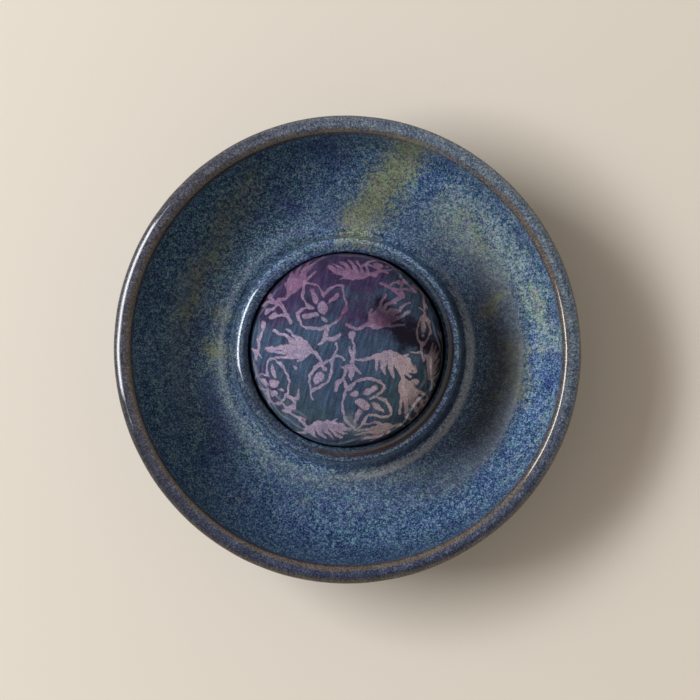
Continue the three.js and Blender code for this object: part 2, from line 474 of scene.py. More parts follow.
pale = patches([
    ([(452, 214), (475, 236), (505, 264)], 26, 12, 1.0), ([(521, 279), (535, 303), (547, 332), (549, 352)], 14, 10, 0.9), ([(530, 352), (528, 376)], 10, 12, 0.6),
    ([(349, 239), (372, 241)], 9, 6, 0.8), ([(560, 400), (540, 440), (512, 470)], 12, 12, 0.35),
    # round the foot of the collar: paler glaze with a painted reflection of the surroundings in the fillet
    ([(223, 355), (224, 385), (236, 417), (259, 445), (286, 466), (311, 475), (340, 480), (372, 478), (398, 472)], 8, 7, 0.62),
    ([(395, 478), (425, 467)], 6, 6, 0.6), ([(300, 246), (330, 239)], 6, 5, 0.5), ([(440, 470), (470, 500)], 9, 9, 0.35),
], 1.3)
deep = patches([
    ([(441, 163), (428, 190), (416, 208)], 7, 7, 0.5), ([(404, 228), (401, 240)], 6, 6, 0.6), ([(470, 264), (490, 296)], 7, 6, 0.5),
    ([(553, 312)], 7, 6, 0.8), ([(552, 360), (548, 376)], 9, 7, 0.8), ([(534, 388)], 8, 6, 0.6),
    ([(281, 198), (293, 213)], 10, 7, 0.9), ([(261, 218)], 8, 6, 0.7), ([(333, 222)], 10, 7, 0.9), ([(320, 150), (338, 160)], 11, 9, 1.0), ([(236, 486), (256, 506)], 12, 12, 0.6), ([(455, 158)], 6, 5, 0.6),
    ([(200, 328)], 7, 6, 0.8), ([(209, 392), (216, 412), (226, 444), (208, 463)], 11, 8, 0.85), ([(155, 270), (150, 330)], 6, 6, 0.5),
    ([(270, 520), (330, 556), (400, 560), (470, 536)], 12, 10, 0.4), ([(172, 400), (176, 440)], 8, 8, 0.5), ([(300, 492)], 6, 5, 0.5),
])
left = smooth(0.0, 0.9, -np.cos(np.radians(img))) * smooth(110, 140, R2 * PX_PER_MM)
top = smooth(0.3, 0.9, -np.sin(np.radians(img)))
teal = np.clip(0.95 * left + 0.45 * top + patches([([(485, 330), (488, 390), (470, 430)], 14, 10, 0.9)]), 0, 1) * smooth(112, 124, R2 * PX_PER_MM)
teal *= 0.75 + 0.35 * fractal(np.stack([PX / 30, PY / 30, np.full_like(PX, 3.3)], -1), 21)

a_img = np.mod(img, 360)


def around(points, values):
    """Values given at picture angles, joined smoothly round the dish."""
    p = np.array(points + [points[0] + 360], float)
    v = np.array(values + [values[0]], float)
    return np.interp(a_img, p, v)


rp = R * PX_PER_MM + 0.4 * (R2 - R) * PX_PER_MM
wob = 0.8 * noise3(np.stack([ux * 9, uy * 9, np.zeros_like(ux)], -1), 31) + 0.5 * noise3(np.stack([ux * 26, uy * 26, np.zeros_like(ux)], -1), 33)
high = Z > 24
# glaze breaks brown on the inner edge of the rim, and again at the outermost line
line_in = smooth(213.4, 216.2, rp) * smooth(222.6 + wob, 219.6 + wob, rp)
# painted shade below the inner edge of the rim, strongest on the left where the wall faces away from the light
shade_in = smooth(219.0, 215.8, rp) * inside * around([10, 60, 110, 150, 200, 240, 290, 330], [0.25, 0.35, 0.9, 1.0, 0.75, 0.85, 0.35, 0.25])
outer_from = around([0, 45, 70, 90, 110, 150, 200, 270, 330], [232.2, 230.6, 229.2, 228.6, 229.2, 231.0, 232.0, 232.4, 231.2])
line_out = smooth(outer_from - 2.0, outer_from + 2.4, rp)
line_out = np.where(inside, 0.0, line_out * smooth(25.6, 27.6, Z))
brown = np.where(high & (R > 50), np.maximum(line_in * inside * around([10, 60, 110, 200, 240, 270, 290, 310, 330], [0.8, 0.85, 1.0, 1.0, 1.0, 0.8, 0.55, 0.7, 0.9]), line_out), 0.0)
# and on the collar's lip, where it breaks almost black
lip = (R < 33) & high
lip_out = around([20, 70, 115, 335], [107.6, 108.8, 107.6, 106.6])
lip_in = smooth(lip_out + 1.2 + 0.6 * wob, lip_out - 0.8 + 0.6 * wob, rp) * smooth(100.6, 103.0, rp)
brown = np.where(lip & inside, lip_in * around([0, 60, 80, 105, 116, 126, 150, 180, 230, 250, 300, 340], [0.8, 1.0, 0.75, 0.65, 0.15, 0.35, 0.35, 0.25, 0.1, 0.1, 0.15, 0.45]), brown)
dark = np.where(lip, 0.9 * lip_in, np.where(R > 50, shade_in, 0))
dark = np.where((~inside) & (R > 50), 0.35, dark)
warm = around([0, 40, 90, 130, 190, 225, 260, 300, 330], [0.45, 0.4, 0.6, 0.45, 0.35, 0.5, 0.4, 0.3, 0.6])
warm = np.where(lip, around([0, 60, 100, 180, 270], [0.45, 0.7, 0.7, 0.3, 0.2]), warm)
warm = np.where(~inside, 0.1, warm)
# streaked band of thicker glaze on the crest of rim and collar
band = np.where(R > 50, smooth(218.0, 222.4, rp) * smooth(20, 28, Z), 0.38 * smooth(22.0, 24.6, Z) * smooth(98, 101, rp))
band = np.where(high, band, 0)
violet = around([0, 45, 90, 135, 180, 225, 270, 320], [0.15, 0.45, 0.65, 0.9, 1.0, 0.95, 0.35, 0.1])
navy = around([0, 20, 45, 60, 90, 120, 150, 185, 225, 270, 320], [0.05, 0.35, 0.75, 0.95, 1.0, 0.95, 0.6, 0.15, 0.2, 0.05, 0.0])
navy = np.where(high & (R > 50), navy, 0)
# the foot of the collar on the right, where it lies in shade: a grey band painted in as a reflection of the bright
# surroundings in the fillet
foot_reflection_paint = smooth(120.6, 123.2, rp) * smooth(133.0, 128.5, rp) * around([0, 50, 75, 100, 280, 305, 325, 345], [1, 1, 0.8, 0.0, 0.0, 0.15, 0.3, 0.6]) * inside * smooth(15, 11.5, Z)
# painted light and shade in the glaze's tone, set by direction: lighter high on the right wall where the light falls,
# darker low on the right where the collar's shadow falls, lighter and darker by turns low on the left; partly the
# glaze's own variation
tone_and_painted_light = around([0, 20, 40, 60, 80, 110, 140, 180, 220, 260, 300, 330], [1.45, 1.2, 1.05, 1.0, 0.9, 1.0, 0.95, 1.15, 1.08, 0.93, 1.2, 1.15])
tone_and_painted_light = 1 + (tone_and_painted_light - 1) * smooth(168, 196, rp) * smooth(223, 212, rp) * inside
collar_shadow_paint = smooth(138, 152, rp) * smooth(192, 170, rp) * around([0, 30, 55, 80, 290, 315, 335], [0.56, 0.56, 0.2, 0.0, 0.0, 0.05, 0.3])
left_trough_shading_paint = smooth(128, 142, rp) * smooth(176, 158, rp) * around([90, 125, 150, 175, 210, 240, 270], [0.0, 0.12, 0.26, -0.25, -0.25, -0.12, 0.2])
tone_and_painted_light *= 1 - (collar_shadow_paint + left_trough_shading_paint) * inside
# painted shadow: a darker arc on the right where the collar's shadow ends
tone_and_painted_light *= 1 - 0.48 * np.exp(-((rp - 175) / 11) ** 2) * around([0, 30, 60, 300, 330], [0.85, 0.9, 0.1, 0.0, 0.3]) * inside
# darker just below the rim, most at the top and lower right
tone_and_painted_light *= 1 - 0.27 * smooth(198, 209, rp) * smooth(217, 212, rp) * around([0, 30, 60, 90, 120, 240, 270, 300, 330], [0.0, 0.1, 1.0, 0.6, 0.0, 0.4, 1.0, 0.5, 0.6]) * inside
# the rim's tone set by direction, painted light and shade: darker on the lit left, taking back the lamp's sheen there,
# lighter on the right
rim_tone = around([10, 60, 110, 150, 200, 240, 290, 330], [0.95, 1.15, 1.0, 0.95, 0.66, 0.62, 0.95, 1.0])
dip = around([10, 60, 110, 150, 200, 240, 290, 330], [0.25, 0.5, 0.05, 0.42, 0.3, 0.3, 0.0, 0.22])
crest_tone = around([10, 60, 110, 150, 200, 240, 290, 330], [1.25, 1.25, 0.85, 0.62, 0.78, 0.85, 1.25, 1.15])
on_rim = (R > 55) & high
tone_and_painted_light = np.where(on_rim & (rp > 214), 1 + (rim_tone - 1) * smooth(214, 217, rp) * smooth(224.5, 221.5, rp) + (crest_tone * (1 - dip * smooth(225.0, 227.6, rp) * smooth(231.5, 229.0, rp)) - 1) * smooth(221.5, 224.5, rp), tone_and_painted_light)
on_collar = inside & (R < 36) & (Z > 9)
# painted light and shade on the collar's lip, set by direction: darker on the right, lighter on the left where it lies
# in shade; a darker line at the lip's inner edge takes back a glint
edge_tone = around([20, 65, 85, 120, 140, 160, 180, 200, 220, 245, 262, 280, 300, 335], [0.08, 0.09, 0.4, 1.2, 0.95, 0.75, 0.75, 1.35, 1.9, 2.8, 1.6, 1.05, 0.35, 0.10])
lip_tone = around([20, 65, 92, 115, 160, 200, 245, 290, 335], [0.30, 0.55, 0.95, 0.52, 0.52, 0.70, 0.80, 0.66, 0.36])
crown_tone = around([20, 70, 115, 160, 200, 245, 290, 335], [1.15, 0.76, 0.74, 0.50, 0.95, 1.15, 1.3, 1.18])
wall_tone = around([20, 70, 90, 115, 160, 200, 245, 290, 335], [0.42, 0.6, 1.3, 1.5, 0.75, 0.5, 0.7, 2.0, 0.5])
collar = edge_tone + (lip_tone - edge_tone) * smooth(101.4, 103.4, rp)
collar *= 1 - np.exp(-((rp - 102.5) / 1.1) ** 2) * around([0, 20, 40, 60, 80, 100, 120, 140, 160, 180, 200, 220, 240, 260, 280, 300, 320, 340], [0.55, 0.5, 0.3, 0.0, 0.0, 0.05, 0.15, 0.3, 0.25, 0.2, 0.1, 0.05, 0.15, 0.3, 0.1, 0.05, 0.3, 0.5])
collar = collar + (crown_tone - collar) * smooth(106.5, 108.8, rp)
collar = collar + (wall_tone - collar) * smooth(112.6, 116.4, rp)
collar *= 1 - 0.5 * np.exp(-((rp - 112.9) / 0.85) ** 2) * around([30, 80, 130, 230, 280, 320], [0.0, 0.8, 0.9, 1.0, 0.8, 0.0])      # painted shade in the fine groove under the rolled lip
tone_and_painted_light = np.where(on_collar & (rp > 98), 1 + (collar - 1) * smooth(131, 124, rp), tone_and_painted_light)
# painted light and shade on the wall of the bore: darker on the right, much lighter on the left where it lies in shade
tone_and_painted_light = np.where(inside & (R < 27.9) & (Z > 9) & (rp < 98.5), around([20, 65, 95, 120, 160, 200, 245, 275, 300, 335], [0.16, 0.2, 0.8, 2.4, 3.0, 3.0, 2.6, 1.4, 0.4, 0.18]), tone_and_painted_light)
# painted light and reflection round the foot of the collar, set by direction: lighter at the bottom and the top, darker
# on the left where the lamp's sheen falls
foot_tone = around([0, 30, 60, 90, 120, 150, 180, 210, 240, 270, 300, 330], [0.9, 1.05, 1.25, 1.5, 1.05, 0.7, 0.58, 0.62, 0.62, 1.25, 1.6, 0.9])
tone_and_painted_light = tone_and_painted_light * np.where(inside & (R > 33) & (R < 40), 1 + (foot_tone - 1) * smooth(118, 122, rp) * smooth(132, 126, rp), 1.0)
violet = np.where(lip, around([0, 60, 120, 180, 240, 300], [0.5, 0.6, 0.45, 0.45, 0.1, 0.1]), violet)
# bare clay of the foot
bare = np.where((R > 36.2) & (R < 46) & (~inside), smooth(2.75, 2.45, Z), 0.0)
bare = np.where((R > 36.2) & (R <= 40) & (~inside), smooth(1.9, 1.6, Z), bare)
toast = np.where(~inside, smooth(1.2, 2.4, Z), 0)
recess = np.where((R < 37.5) & (~inside), 1.0, 0.0)
# outside wall: broad vertical runs of olive and teal over blue
wall = (~inside) & (R > 42.5)
runs = fractal(np.stack([ux * 3.1, uy * 3.1, Z / 60], -1), 51)
runs2 = fractal(np.stack([ux * 5.3 + 9, uy * 5.3, Z / 40], -1), 57)
olive = np.where(wall, smooth(0.12, 0.5, runs) * 0.9, olive)
teal = np.where(wall, smooth(-0.1, 0.4, runs2) * 0.8, teal)
deep = np.where(wall, smooth(0.05, 0.45, -runs) * 0.8, deep)
pale = np.where(wall, smooth(0.25, 0.5, runs2) * 0.4, pale)
well = inside & (R < 28.2) & (Z < 24)
for field in (olive, pale):
    field[well] *= 0.2
deep = np.where(recess > 0, 0.6, deep)
teal = np.where(recess > 0, 0.6, teal)


def finish_rows(field):
    """Adds the values of the two centre points."""
    f = np.broadcast_to(field, PX.shape)
    return np.concatenate([f.ravel(), [f[0, 0], f[-1, 0]]])


glaze, n, s = material("reaction_glaze")
place = n.node("ShaderNodeTexCoord").outputs["Object"]
flow = n.attribute("flow", 1)
drawn = n.vmath("MULTIPLY", place, (1.0, 1.0, 0.30))    # the speckle is drawn out as it runs down steep walls
fine = n.noise(drawn, 2250, 1.6, 0.55)
medium = n.noise(drawn, 930, 2.0, 0.5)
blotch = n.noise(place, 150, 3.0, 0.55)
blotch2 = n.noise(n.vmath("ADD", place, (0.31, 0.17, 0.05)), 260, 2.5, 0.55)
streak = n.noise(flow, 1.0, 2.5, 0.6)
grain = n.math("ADD", n.math("MULTIPLY", fine, 0.69), n.math("MULTIPLY", medium, 0.31))
grain = n.math("ADD", grain, n.math("MULTIPLY", n.math("SUBTRACT", blotch, 0.5), 0.11))
curd = n.noise(n.vmath("ADD", drawn, (0.07, 0.53, 0.21)), 480, 2.5, 0.6)
grain = n.math("ADD", grain, n.math("MULTIPLY", n.math("SUBTRACT", curd, 0.5), 0.15))
grain = n.math("ADD", 0.505, n.math("MULTIPLY", n.math("SUBTRACT", grain, 0.505), 1.12))


def zone(name, low=0.02, high=1.0, breakup=0.8, speck=1.3):
    """A patch's weight, its edge broken up by blotches and by the grain itself."""
    v = n.attribute(name)
    extra = n.math("ADD", n.math("MULTIPLY", n.math("SUBTRACT", blotch2, 0.5), breakup), n.math("MULTIPLY", n.math("SUBTRACT", medium, 0.5), speck))
    v = n.math("ADD", v, n.math("MULTIPLY", extra, n.step(v, 0.0, 0.25)))
    return n.step(v, low, high)


cobalt_c = n.ramp(grain, [(0.35, (0.008, 0.019, 0.056)), (0.44, (0.026, 0.056, 0.128)), (0.51, (0.051, 0.101, 0.205)), (0.57, (0.102, 0.172, 0.275)), (0.66, (0.205, 0.305, 0.375))])
deep_c = n.ramp(grain, [(0.36, (0.006, 0.013, 0.050)), (0.46, (0.019, 0.040, 0.115)), (0.54, (0.042, 0.080, 0.175)), (0.66, (0.13, 0.19, 0.29))])
teal_c = n.ramp(grain, [(0.38, (0.003, 0.014, 0.040)), (0.45, (0.014, 0.044, 0.099)), (0.52, (0.048, 0.104, 0.172)), (0.58, (0.118, 0.190, 0.236)), (0.68, (0.23, 0.31, 0.33))])
olive_c = n.ramp(grain, [(0.36, (0.075, 0.092, 0.068)), (0.45, (0.128, 0.148, 0.098)), (0.53, (0.180, 0.202, 0.136)), (0.66, (0.26, 0.285, 0.21))])
pale_c = n.ramp(grain, [(0.35, (0.032, 0.056, 0.096)), (0.44, (0.076, 0.116, 0.150)), (0.53, (0.142, 0.194, 0.208)), (0.66, (0.26, 0.32, 0.32))])
colour = n.mix(zone("teal", 0.25, 0.8), cobalt_c, teal_c)
colour = n.mix(zone("pale"), colour, pale_c)
colour = n.mix(zone("deep"), colour, deep_c)
colour = n.mix(zone("olive"), colour, olive_c)
hue = n.noise(n.vmath("ADD", drawn, (0.43, 0.11, 0.37)), 400, 2.0, 0.6)
hue_tint = n.node("ShaderNodeCombineXYZ")
for socket, swing in zip(hue_tint.inputs, (0.985, 1.09, 0.97)):
    n.put(socket, n.step(hue, 0.32, 0.68, 2.0 - swing, swing))
colour = n.mix(1.0, colour, hue_tint.outputs[0], "MULTIPLY")
# crest band: fine streaks across the rim, violet-slate to blue-grey
band_grain = n.math("ADD", n.math("ADD", n.math("MULTIPLY", streak, 0.30), n.math("MULTIPLY", fine, 0.52)), n.math("MULTIPLY", blotch2, 0.18))
band_blue = n.ramp(band_grain, [(0.38, (0.026, 0.044, 0.085)), (0.47, (0.072, 0.105, 0.155)), (0.54, (0.14, 0.185, 0.22)), (0.64, (0.27, 0.31, 0.32))])
band_violet = n.ramp(band_grain, [(0.38, (0.020, 0.020, 0.032)), (0.47, (0.053, 0.050, 0.072)), (0.54, (0.095, 0.090, 0.118)), (0.64, (0.19, 0.18, 0.22))])
band_c = n.mix(n.attribute("violet"), band_blue, band_violet)
band_navy = n.ramp(band_grain, [(0.38, (0.010, 0.014, 0.036)), (0.47, (0.024, 0.032, 0.066)), (0.54, (0.048, 0.058, 0.100)), (0.64, (0.12, 0.135, 0.19))])
band_c = n.mix(n.attribute("navy"), band_c, band_navy)
colour = n.mix(n.step(n.math("ADD", n.attribute("band"), n.math("MULTIPLY", n.math("SUBTRACT", medium, 0.5), 0.5)), 0.3, 0.7), colour, band_c)
# edges where the glaze breaks, with painted shade below the rim's inner edge
brown_warm = n.ramp(band_grain, [(0.38, (0.050, 0.030, 0.020)), (0.50, (0.100, 0.068, 0.050)), (0.62, (0.175, 0.13, 0.105))])
brown_olive = n.ramp(band_grain, [(0.38, (0.040, 0.034, 0.024)), (0.50, (0.084, 0.073, 0.056)), (0.62, (0.155, 0.140, 0.115))])
brown_c = n.mix(n.attribute("warm"), brown_olive, brown_warm)
brown_c = n.mix(n.attribute("dark"), brown_c, n.mix(n.attribute("warm"), (0.022, 0.015, 0.012), (0.034, 0.016, 0.016)))
brown_w = n.step(n.math("ADD", n.attribute("brown"), n.math("MULTIPLY", n.math("SUBTRACT", band_grain, 0.5), 0.9)), 0.08, 0.88)
colour = n.mix(n.math("MULTIPLY", brown_w, 0.93), colour, brown_c)
# the glaze's tone with its painted light and shade, and the painted reflection on the right foot of the collar
colour = n.mix(1.0, colour, n.vmath("SCALE", (1, 1, 1), n.attribute("tone_and_painted_light")), "MULTIPLY")
colour = n.mix(n.math("MULTIPLY", n.attribute("foot_reflection_paint"), 0.85), colour, n.ramp(grain, [(0.38, (0.30, 0.305, 0.30)), (0.62, (0.56, 0.57, 0.56))]))
colour = n.mix(n.math("MULTIPLY", n.attribute("steep"), 0.6), colour, n.mix(1.0, colour, n.vmath("SCALE", (1, 1, 1), n.step(grain, 0.38, 0.62, 0.45, 1.6)), "MULTIPLY"))
# bare stoneware
speck = n.cells(place, 620)
clay = n.ramp(n.noise(place, 1500, 3, 0.6), [(0.3, (0.24, 0.155, 0.095)), (0.5, (0.33, 0.225, 0.145)), (0.7, (0.41, 0.30, 0.20))])
clay = n.mix(n.math("MULTIPLY", n.step(speck, 0.22, 0.12), n.step(blotch2, 0.5, 0.6)), clay, (0.055, 0.028, 0.016))
clay = n.mix(n.math("MULTIPLY", n.attribute("toast"), 0.6), clay, (0.24, 0.11, 0.05))
bare_w = n.attribute("bare")
colour = n.mix(bare_w, colour, clay)
n.put(s["Base Color"], colour)
edge_w = n.attribute("edge")
satin = n.lerp(n.attribute("satin"), n.ramp(n.noise(place, 420, 2, 0.5), [(0.3, 0.20), (0.7, 0.30)]), 0.52)
gloss = n.lerp(edge_w, satin, 0.085)
n.put(s["Roughness"], n.lerp(n.attribute("matt"), n.lerp(bare_w, gloss, 0.82), 0.9))
s["IOR"].default_value = 1.52
peel = n.noise(place, 520, 2, 0.5)
pits = n.noise(place, 1500, 1, 0.5)
height = n.lerp(edge_w, n.math("ADD", n.math("MULTIPLY", peel, 0.9), n.math("MULTIPLY", pits, 0.45)), n.math("MULTIPLY", peel, 0.35))
height = n.lerp(bare_w, height, n.math("MULTIPLY", n.noise(place, 2600, 3, 0.7), 3.0))
n.put(s["Normal"], n.bump(height, 0.00004, 0.7))

dish = build("dish_body", co, dish_faces, "dish", glaze)
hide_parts("stoneware_dish")
edge = np.where(R > 50, smooth(25.5, 28.5, Z), smooth(23.0, 25.0, Z) * smooth(28.4, 29.6, R))
satin = np.where(inside & (R < 45), smooth(43, 37, R) * smooth(20, 13, Z), 0.0)      # drier glaze round the foot of the collar
satin = np.maximum(satin, inside * smooth(29.5, 28.9, R) * smooth(20.0, 23.0, Z))     # and on the inner edge of its lip
satin = np.maximum(satin, inside * smooth(134, 144, rp) * smooth(184, 172, rp) * around([0, 38, 62, 290, 318], [1.15, 1.15, 0.3, 0.0, 0.7]))     # and low on the right, where it lies thin
dry = around([0, 20, 40, 60, 80, 100, 280, 300, 320, 340], [1.0, 1.0, 0.9, 0.5, 0.1, 0.0, 0.0, 0.3, 0.8, 1.0])
satin = satin * (1 - inside * smooth(28.6, 28.3, R) * smooth(20.0, 23.0, Z) * dry)
matt = inside * smooth(29.3, 28.9, R) * smooth(28.25, 28.55, R) * smooth(20.0, 23.0, Z) * around([0, 20, 40, 60, 80, 100, 280, 300, 320, 340], [1.0, 1.0, 0.9, 0.5, 0.1, 0.0, 0.0, 0.3, 0.8, 1.0])     # dry glaze on the inner edge of the lip
steep = inside * smooth(30.6, 31.2, R) * smooth(35.5, 34.0, R)
for name, field in (
    ("satin", satin), ("matt", matt), ("steep", steep),
    ("olive", olive), ("pale", pale), ("deep", deep), ("teal", teal), ("brown", brown), ("warm", warm), ("dark", dark), ("band", band), ("violet", violet), ("navy", navy),
    ("foot_reflection_paint", foot_reflection_paint), ("tone_and_painted_light", tone_and_painted_light), ("edge", edge), ("bare", bare), ("toast", toast),
):
    floats(dish, name, finish_rows(field))
flow_v = np.stack([ux * 100, uy * 100, A * 0.9], -1).reshape(-1, 3)
vectors(dish, "flow", np.vstack([flow_v, [(0, 0, 0), (0, 0, arc[-1] * 0.9)]]))


# ---------------------------------------------------------------- cushion cover
COVER = [
    (0.0, 33.35, 6), (6.0, 33.05, 6), (12.0, 32.1, 6), (17.4, 30.5, 6), (21.6, 28.75, 6), (24.8, 26.55, 6), (26.55, 24.85, 6), (27.22, 23.4, 6), (27.36, 21.8, 6), (27.2, 17.8, 6), (26.75, 13.6, 6),
    (25.5, 10.6, 6), (23.6, 8.95, 6), (21.6, 8.42, 6), (15.0, 8.36, 6), (9.4, 8.38, 6), (8.4, 8.44, 4), (7.4, 8.48, 4), (6.6, 8.50, 4),
]
line = spline(COVER)
line_s = np.concatenate([[0], np.cumsum(np.linalg.norm(np.diff(line, axis=0), axis=1))])
S_END = line_s[-1]
CSEG = 480
s_rows = np.concatenate([np.arange(0.4, 34.0, 0.32), np.arange(34.0, S_END, 0.62), [S_END]])
ca = np.arange(CSEG) / CSEG * TAU
SS, CT = np.meshgrid(s_rows, ca, indexing="ij")
CR = np.interp(SS, line_s, line[:, 0])
CZ = np.interp(SS, line_s, line[:, 1])
tr = np.gradient(line[:, 0], line_s)
tz = np.gradient(line[:, 1], line_s)
tl = np.hypot(tr, tz)
CNR = np.interp(SS, line_s, -tz / tl)
CNZ = np.interp(SS, line_s, tr / tl)
cux, cuy = np.cos(CT), np.sin(CT)
FX, FY = SS * cux, SS * cuy                             # place on the flat cloth, mm

# pleats: start low on the shoulder, deepen down the side, lie pressed together underneath
PLEATS = 34
phase = PLEATS * CT + 1.6 * np.sin(2 * CT + 0.5) + 1.1 * np.sin(5 * CT + 2.0) + 0.25 * np.sin(SS / 4.0 + 3 * CT)
cell = np.stack([cux * 5, cuy * 5, np.zeros_like(SS)], -1)
start = 31.2 + 2.8 * noise3(cell, 71)
deepness = smooth(0, 9, SS - start)
wave_c = 1 - np.abs(np.cos(phase / 2)) ** 0.75          # 0 on the crests, 1 in the narrow valleys
fine_c = 0.5 - 0.5 * np.cos(2 * phase + 2.2 * noise3(cell * 1.7, 73))
amount = 0.85 + 0.35 * noise3(cell * 2.3, 75)
under = smooth(42, 47, SS)
pleat = -(1.15 * wave_c * amount * (1 - under) + 0.30 * fine_c * (1 - under)) * deepness
pleat_under = (0.29 * np.cos(phase) + 0.11 * np.cos(2.0 * phase + 1.3)) * under * deepness
# long shallow creases over the shoulder, with a painted highlight along their ridges
creases = np.zeros_like(SS)
fold_highlight = np.zeros_like(SS)
for a0, a1, s0, s1, h, wdt in (
    (136, 172, 24.0, 28.6, 0.42, 0.42), (126, 150, 26.8, 28.2, 0.34, 0.40), (104, 134, 28.6, 26.6, 0.30, 0.42), (150, 182, 28.8, 27.0, 0.30, 0.42), (116, 140, 22.8, 24.8, 0.20, 0.5),
    (4, 34, 25.2, 28.6, 0.42, 0.42), (22, 48, 28.4, 25.4, 0.36, 0.42), (36, 62, 26.0, 28.6, 0.32, 0.40), (12, 30, 23.4, 24.6, 0.20, 0.5), (56, 84, 28.8, 27.4, 0.30, 0.42),
    (-22, 6, 27.0, 28.6, 0.26, 0.42), (-60, -36, 28.6, 27.2, 0.24, 0.42), (198, 226, 28.8, 27.2, 0.26, 0.42), (178, 202, 25.8, 28.4, 0.2, 0.5),
    (236, 262, 27.2, 28.8, 0.2, 0.42), (262, 292, 29.2, 27.8, 0.2, 0.42), (80, 106, 27.6, 29.2, 0.26, 0.42),
    (0, 22, 29.4, 30.0, 0.38, 0.5), (18, 40, 27.2, 29.8, 0.42, 0.5), (-14, 4, 28.2, 29.8, 0.3, 0.5), (140, 160, 29.6, 28.2, 0.38, 0.5), (158, 176, 26.4, 29.4, 0.38, 0.5),
):
    # angles are picture angles, clockwise from the right
    th = np.mod(-np.degrees(CT) - a0 + 180, 360) - 180
    t = th / (a1 - a0)
    centre = s0 + (s1 - s0) * np.clip(t, 0, 1) + 0.8 * np.sin(t * 4.2 + a0) * np.sin(math.pi * np.clip(t, 0, 1))
    along = smooth(-0.02, 0.25, t) * smooth(1.02, 0.7, t)
    q = (SS - centre) / wdt
    fold_highlight = np.maximum(fold_highlight, min(1.0, 2.4 * h) * along * np.exp(-1.8 * q * q))
    creases += h * along * (np.exp(-q * q) - 0.55 * np.exp(-(q + 1.9) ** 2) - 0.35 * np.exp(-(q - 2.1) ** 2))
lumps = 0.26 * fractal(np.stack([FX / 9, FY / 9, np.full_like(FX, 1.7)], -1), 81) * smooth(0, 6, SS) * smooth(31.5, 26, SS)
dome = 1.0 - under
# the shoulder isn't quite round: it leans on the lip in places and draws back in others (picture angles)
lean = np.interp(np.arange(360), [0, 20, 40, 60, 80, 100, 120, 140, 160, 180, 200, 220, 240, 260, 280, 300, 320, 340], [-0.15, -0.5, 0.05, -0.4, -0.5, 0.0, 0.0, -0.4, -0.1, -0.1, 0.0, 0.0, 0.05, 0.05, -0.05, -0.15, -0.45, -0.2], period=360)
for _ in range(6):
    lean = (lean + np.roll(lean, 3) + np.roll(lean, -3)) / 3
lumps_lean = np.interp(np.mod(-np.degrees(CT), 360), np.arange(360), lean, period=360) * smooth(24.0, 28.5, SS) * smooth(36.5, 31.5, SS)
creases *= 1 - 0.6 * smooth(27.5, 30.0, SS)
off = pleat + creases + lumps + lumps_lean
CX = (CR + off * CNR) * cux
CY = (CR + off * CNR) * cuy
CZ2 = CZ + off * CNZ * dome + pleat_under
# the cushion sits a little towards the back of its collar
CX = CX + 0.02
CY = CY + 0.04
CZ2 = np.maximum(CZ2, 8.06)
# raw edge of the gathers
frill = smooth(S_END - 3.0, S_END, SS)
CZ2 = CZ2 + frill * 0.05 * np.sin(phase * 1.5)
outer = np.stack([CX, CY, CZ2], -1)


def settle():
    """Small moves, in mm, of cotton stretched over its filling: a cloth run on a coarser copy of the cover, capped and laid onto the fine surface."""
    picked = np.unique(np.concatenate([np.arange(8, 92, 6), np.arange(92, 106, 3), np.arange(106, len(s_rows), 2), [len(s_rows) - 1]]))
    plain = pleat + lumps + lumps_lean
    start_co = np.stack([(CR + plain * CNR) * cux, (CR + plain * CNR) * cuy, CZ + plain * CNZ * dome + pleat_under], -1)[picked][:, ::2]
    m, k = start_co.shape[:2]
    flat = np.vstack([start_co.reshape(-1, 3), [(0, 0, line[0, 1])]])
    trial = build("cloth_trial", flat, [ring_faces(m, k, flip=True), fan(m * k, 0, k)], None, None)
    held = trial.vertex_groups.new(name="held")
    held.add([int(i) for i in np.nonzero(np.repeat(s_rows[picked] > 44.0, k))[0]], 1.0, "REPLACE")
    mod = trial.modifiers.new("cloth", "CLOTH")
    c = mod.settings
    c.vertex_group_mass = "held"
    c.quality = 5
    c.mass = 0.0003
    c.tension_stiffness = c.compression_stiffness = 15
    c.shear_stiffness = 5
    c.bending_stiffness = 0.01
    c.use_pressure = True
    c.uniform_pressure_force = 400
    c.effector_weights.gravity = 0
    mod.collision_settings.use_collision = False
    mod.collision_settings.use_self_collision = False
    mod.point_cache.frame_start, mod.point_cache.frame_end = 1, 20
    scene_ = bpy.context.scene
    for frame_no in range(1, 21):
        scene_.frame_set(frame_no)
    moved = trial.evaluated_get(bpy.context.evaluated_depsgraph_get())
    end = np.empty(len(flat) * 3, np.float32)
    moved.data.vertices.foreach_get("co", end)
    move = (end.reshape(-1, 3).astype(float) / MM - flat)[:-1].reshape(m, k, 3)
    scene_.frame_set(1)
    mesh_ = trial.data
    bpy.data.objects.remove(trial)
    bpy.data.meshes.remove(mesh_)
    length = np.linalg.norm(move, axis=-1, keepdims=True)
    move *= np.minimum(1.0, 0.28 / (length + 1e-9)) * smooth(47.0, 44.0, s_rows[picked])[:, None, None]
    wide = np.empty((m, 2 * k, 3))
    wide[:, ::2] = move
    wide[:, 1::2] = (move + np.roll(move, -1, 1)) / 2
    fine_move = np.stack([np.stack([np.interp(s_rows, s_rows[picked], wide[:, j, i], left=wide[:, j, i][0]) for j in range(2 * k)], -1) for i in range(3)], -1)
    fine_move *= smooth(0.0, 4.0, s_rows)[:, None, None] * 0.5 + 0.5
    for _ in range(5):
        fine_move = (fine_move + np.roll(fine_move, 1, 1) + np.roll(fine_move, -1, 1)) / 3
        fine_move[1:-1] = (fine_move[:-2] + fine_move[1:-1] + fine_move[2:]) / 3
    fine_move[:8] = fine_move[:8].mean(1, keepdims=True)
    return fine_move


outer = outer + settle()
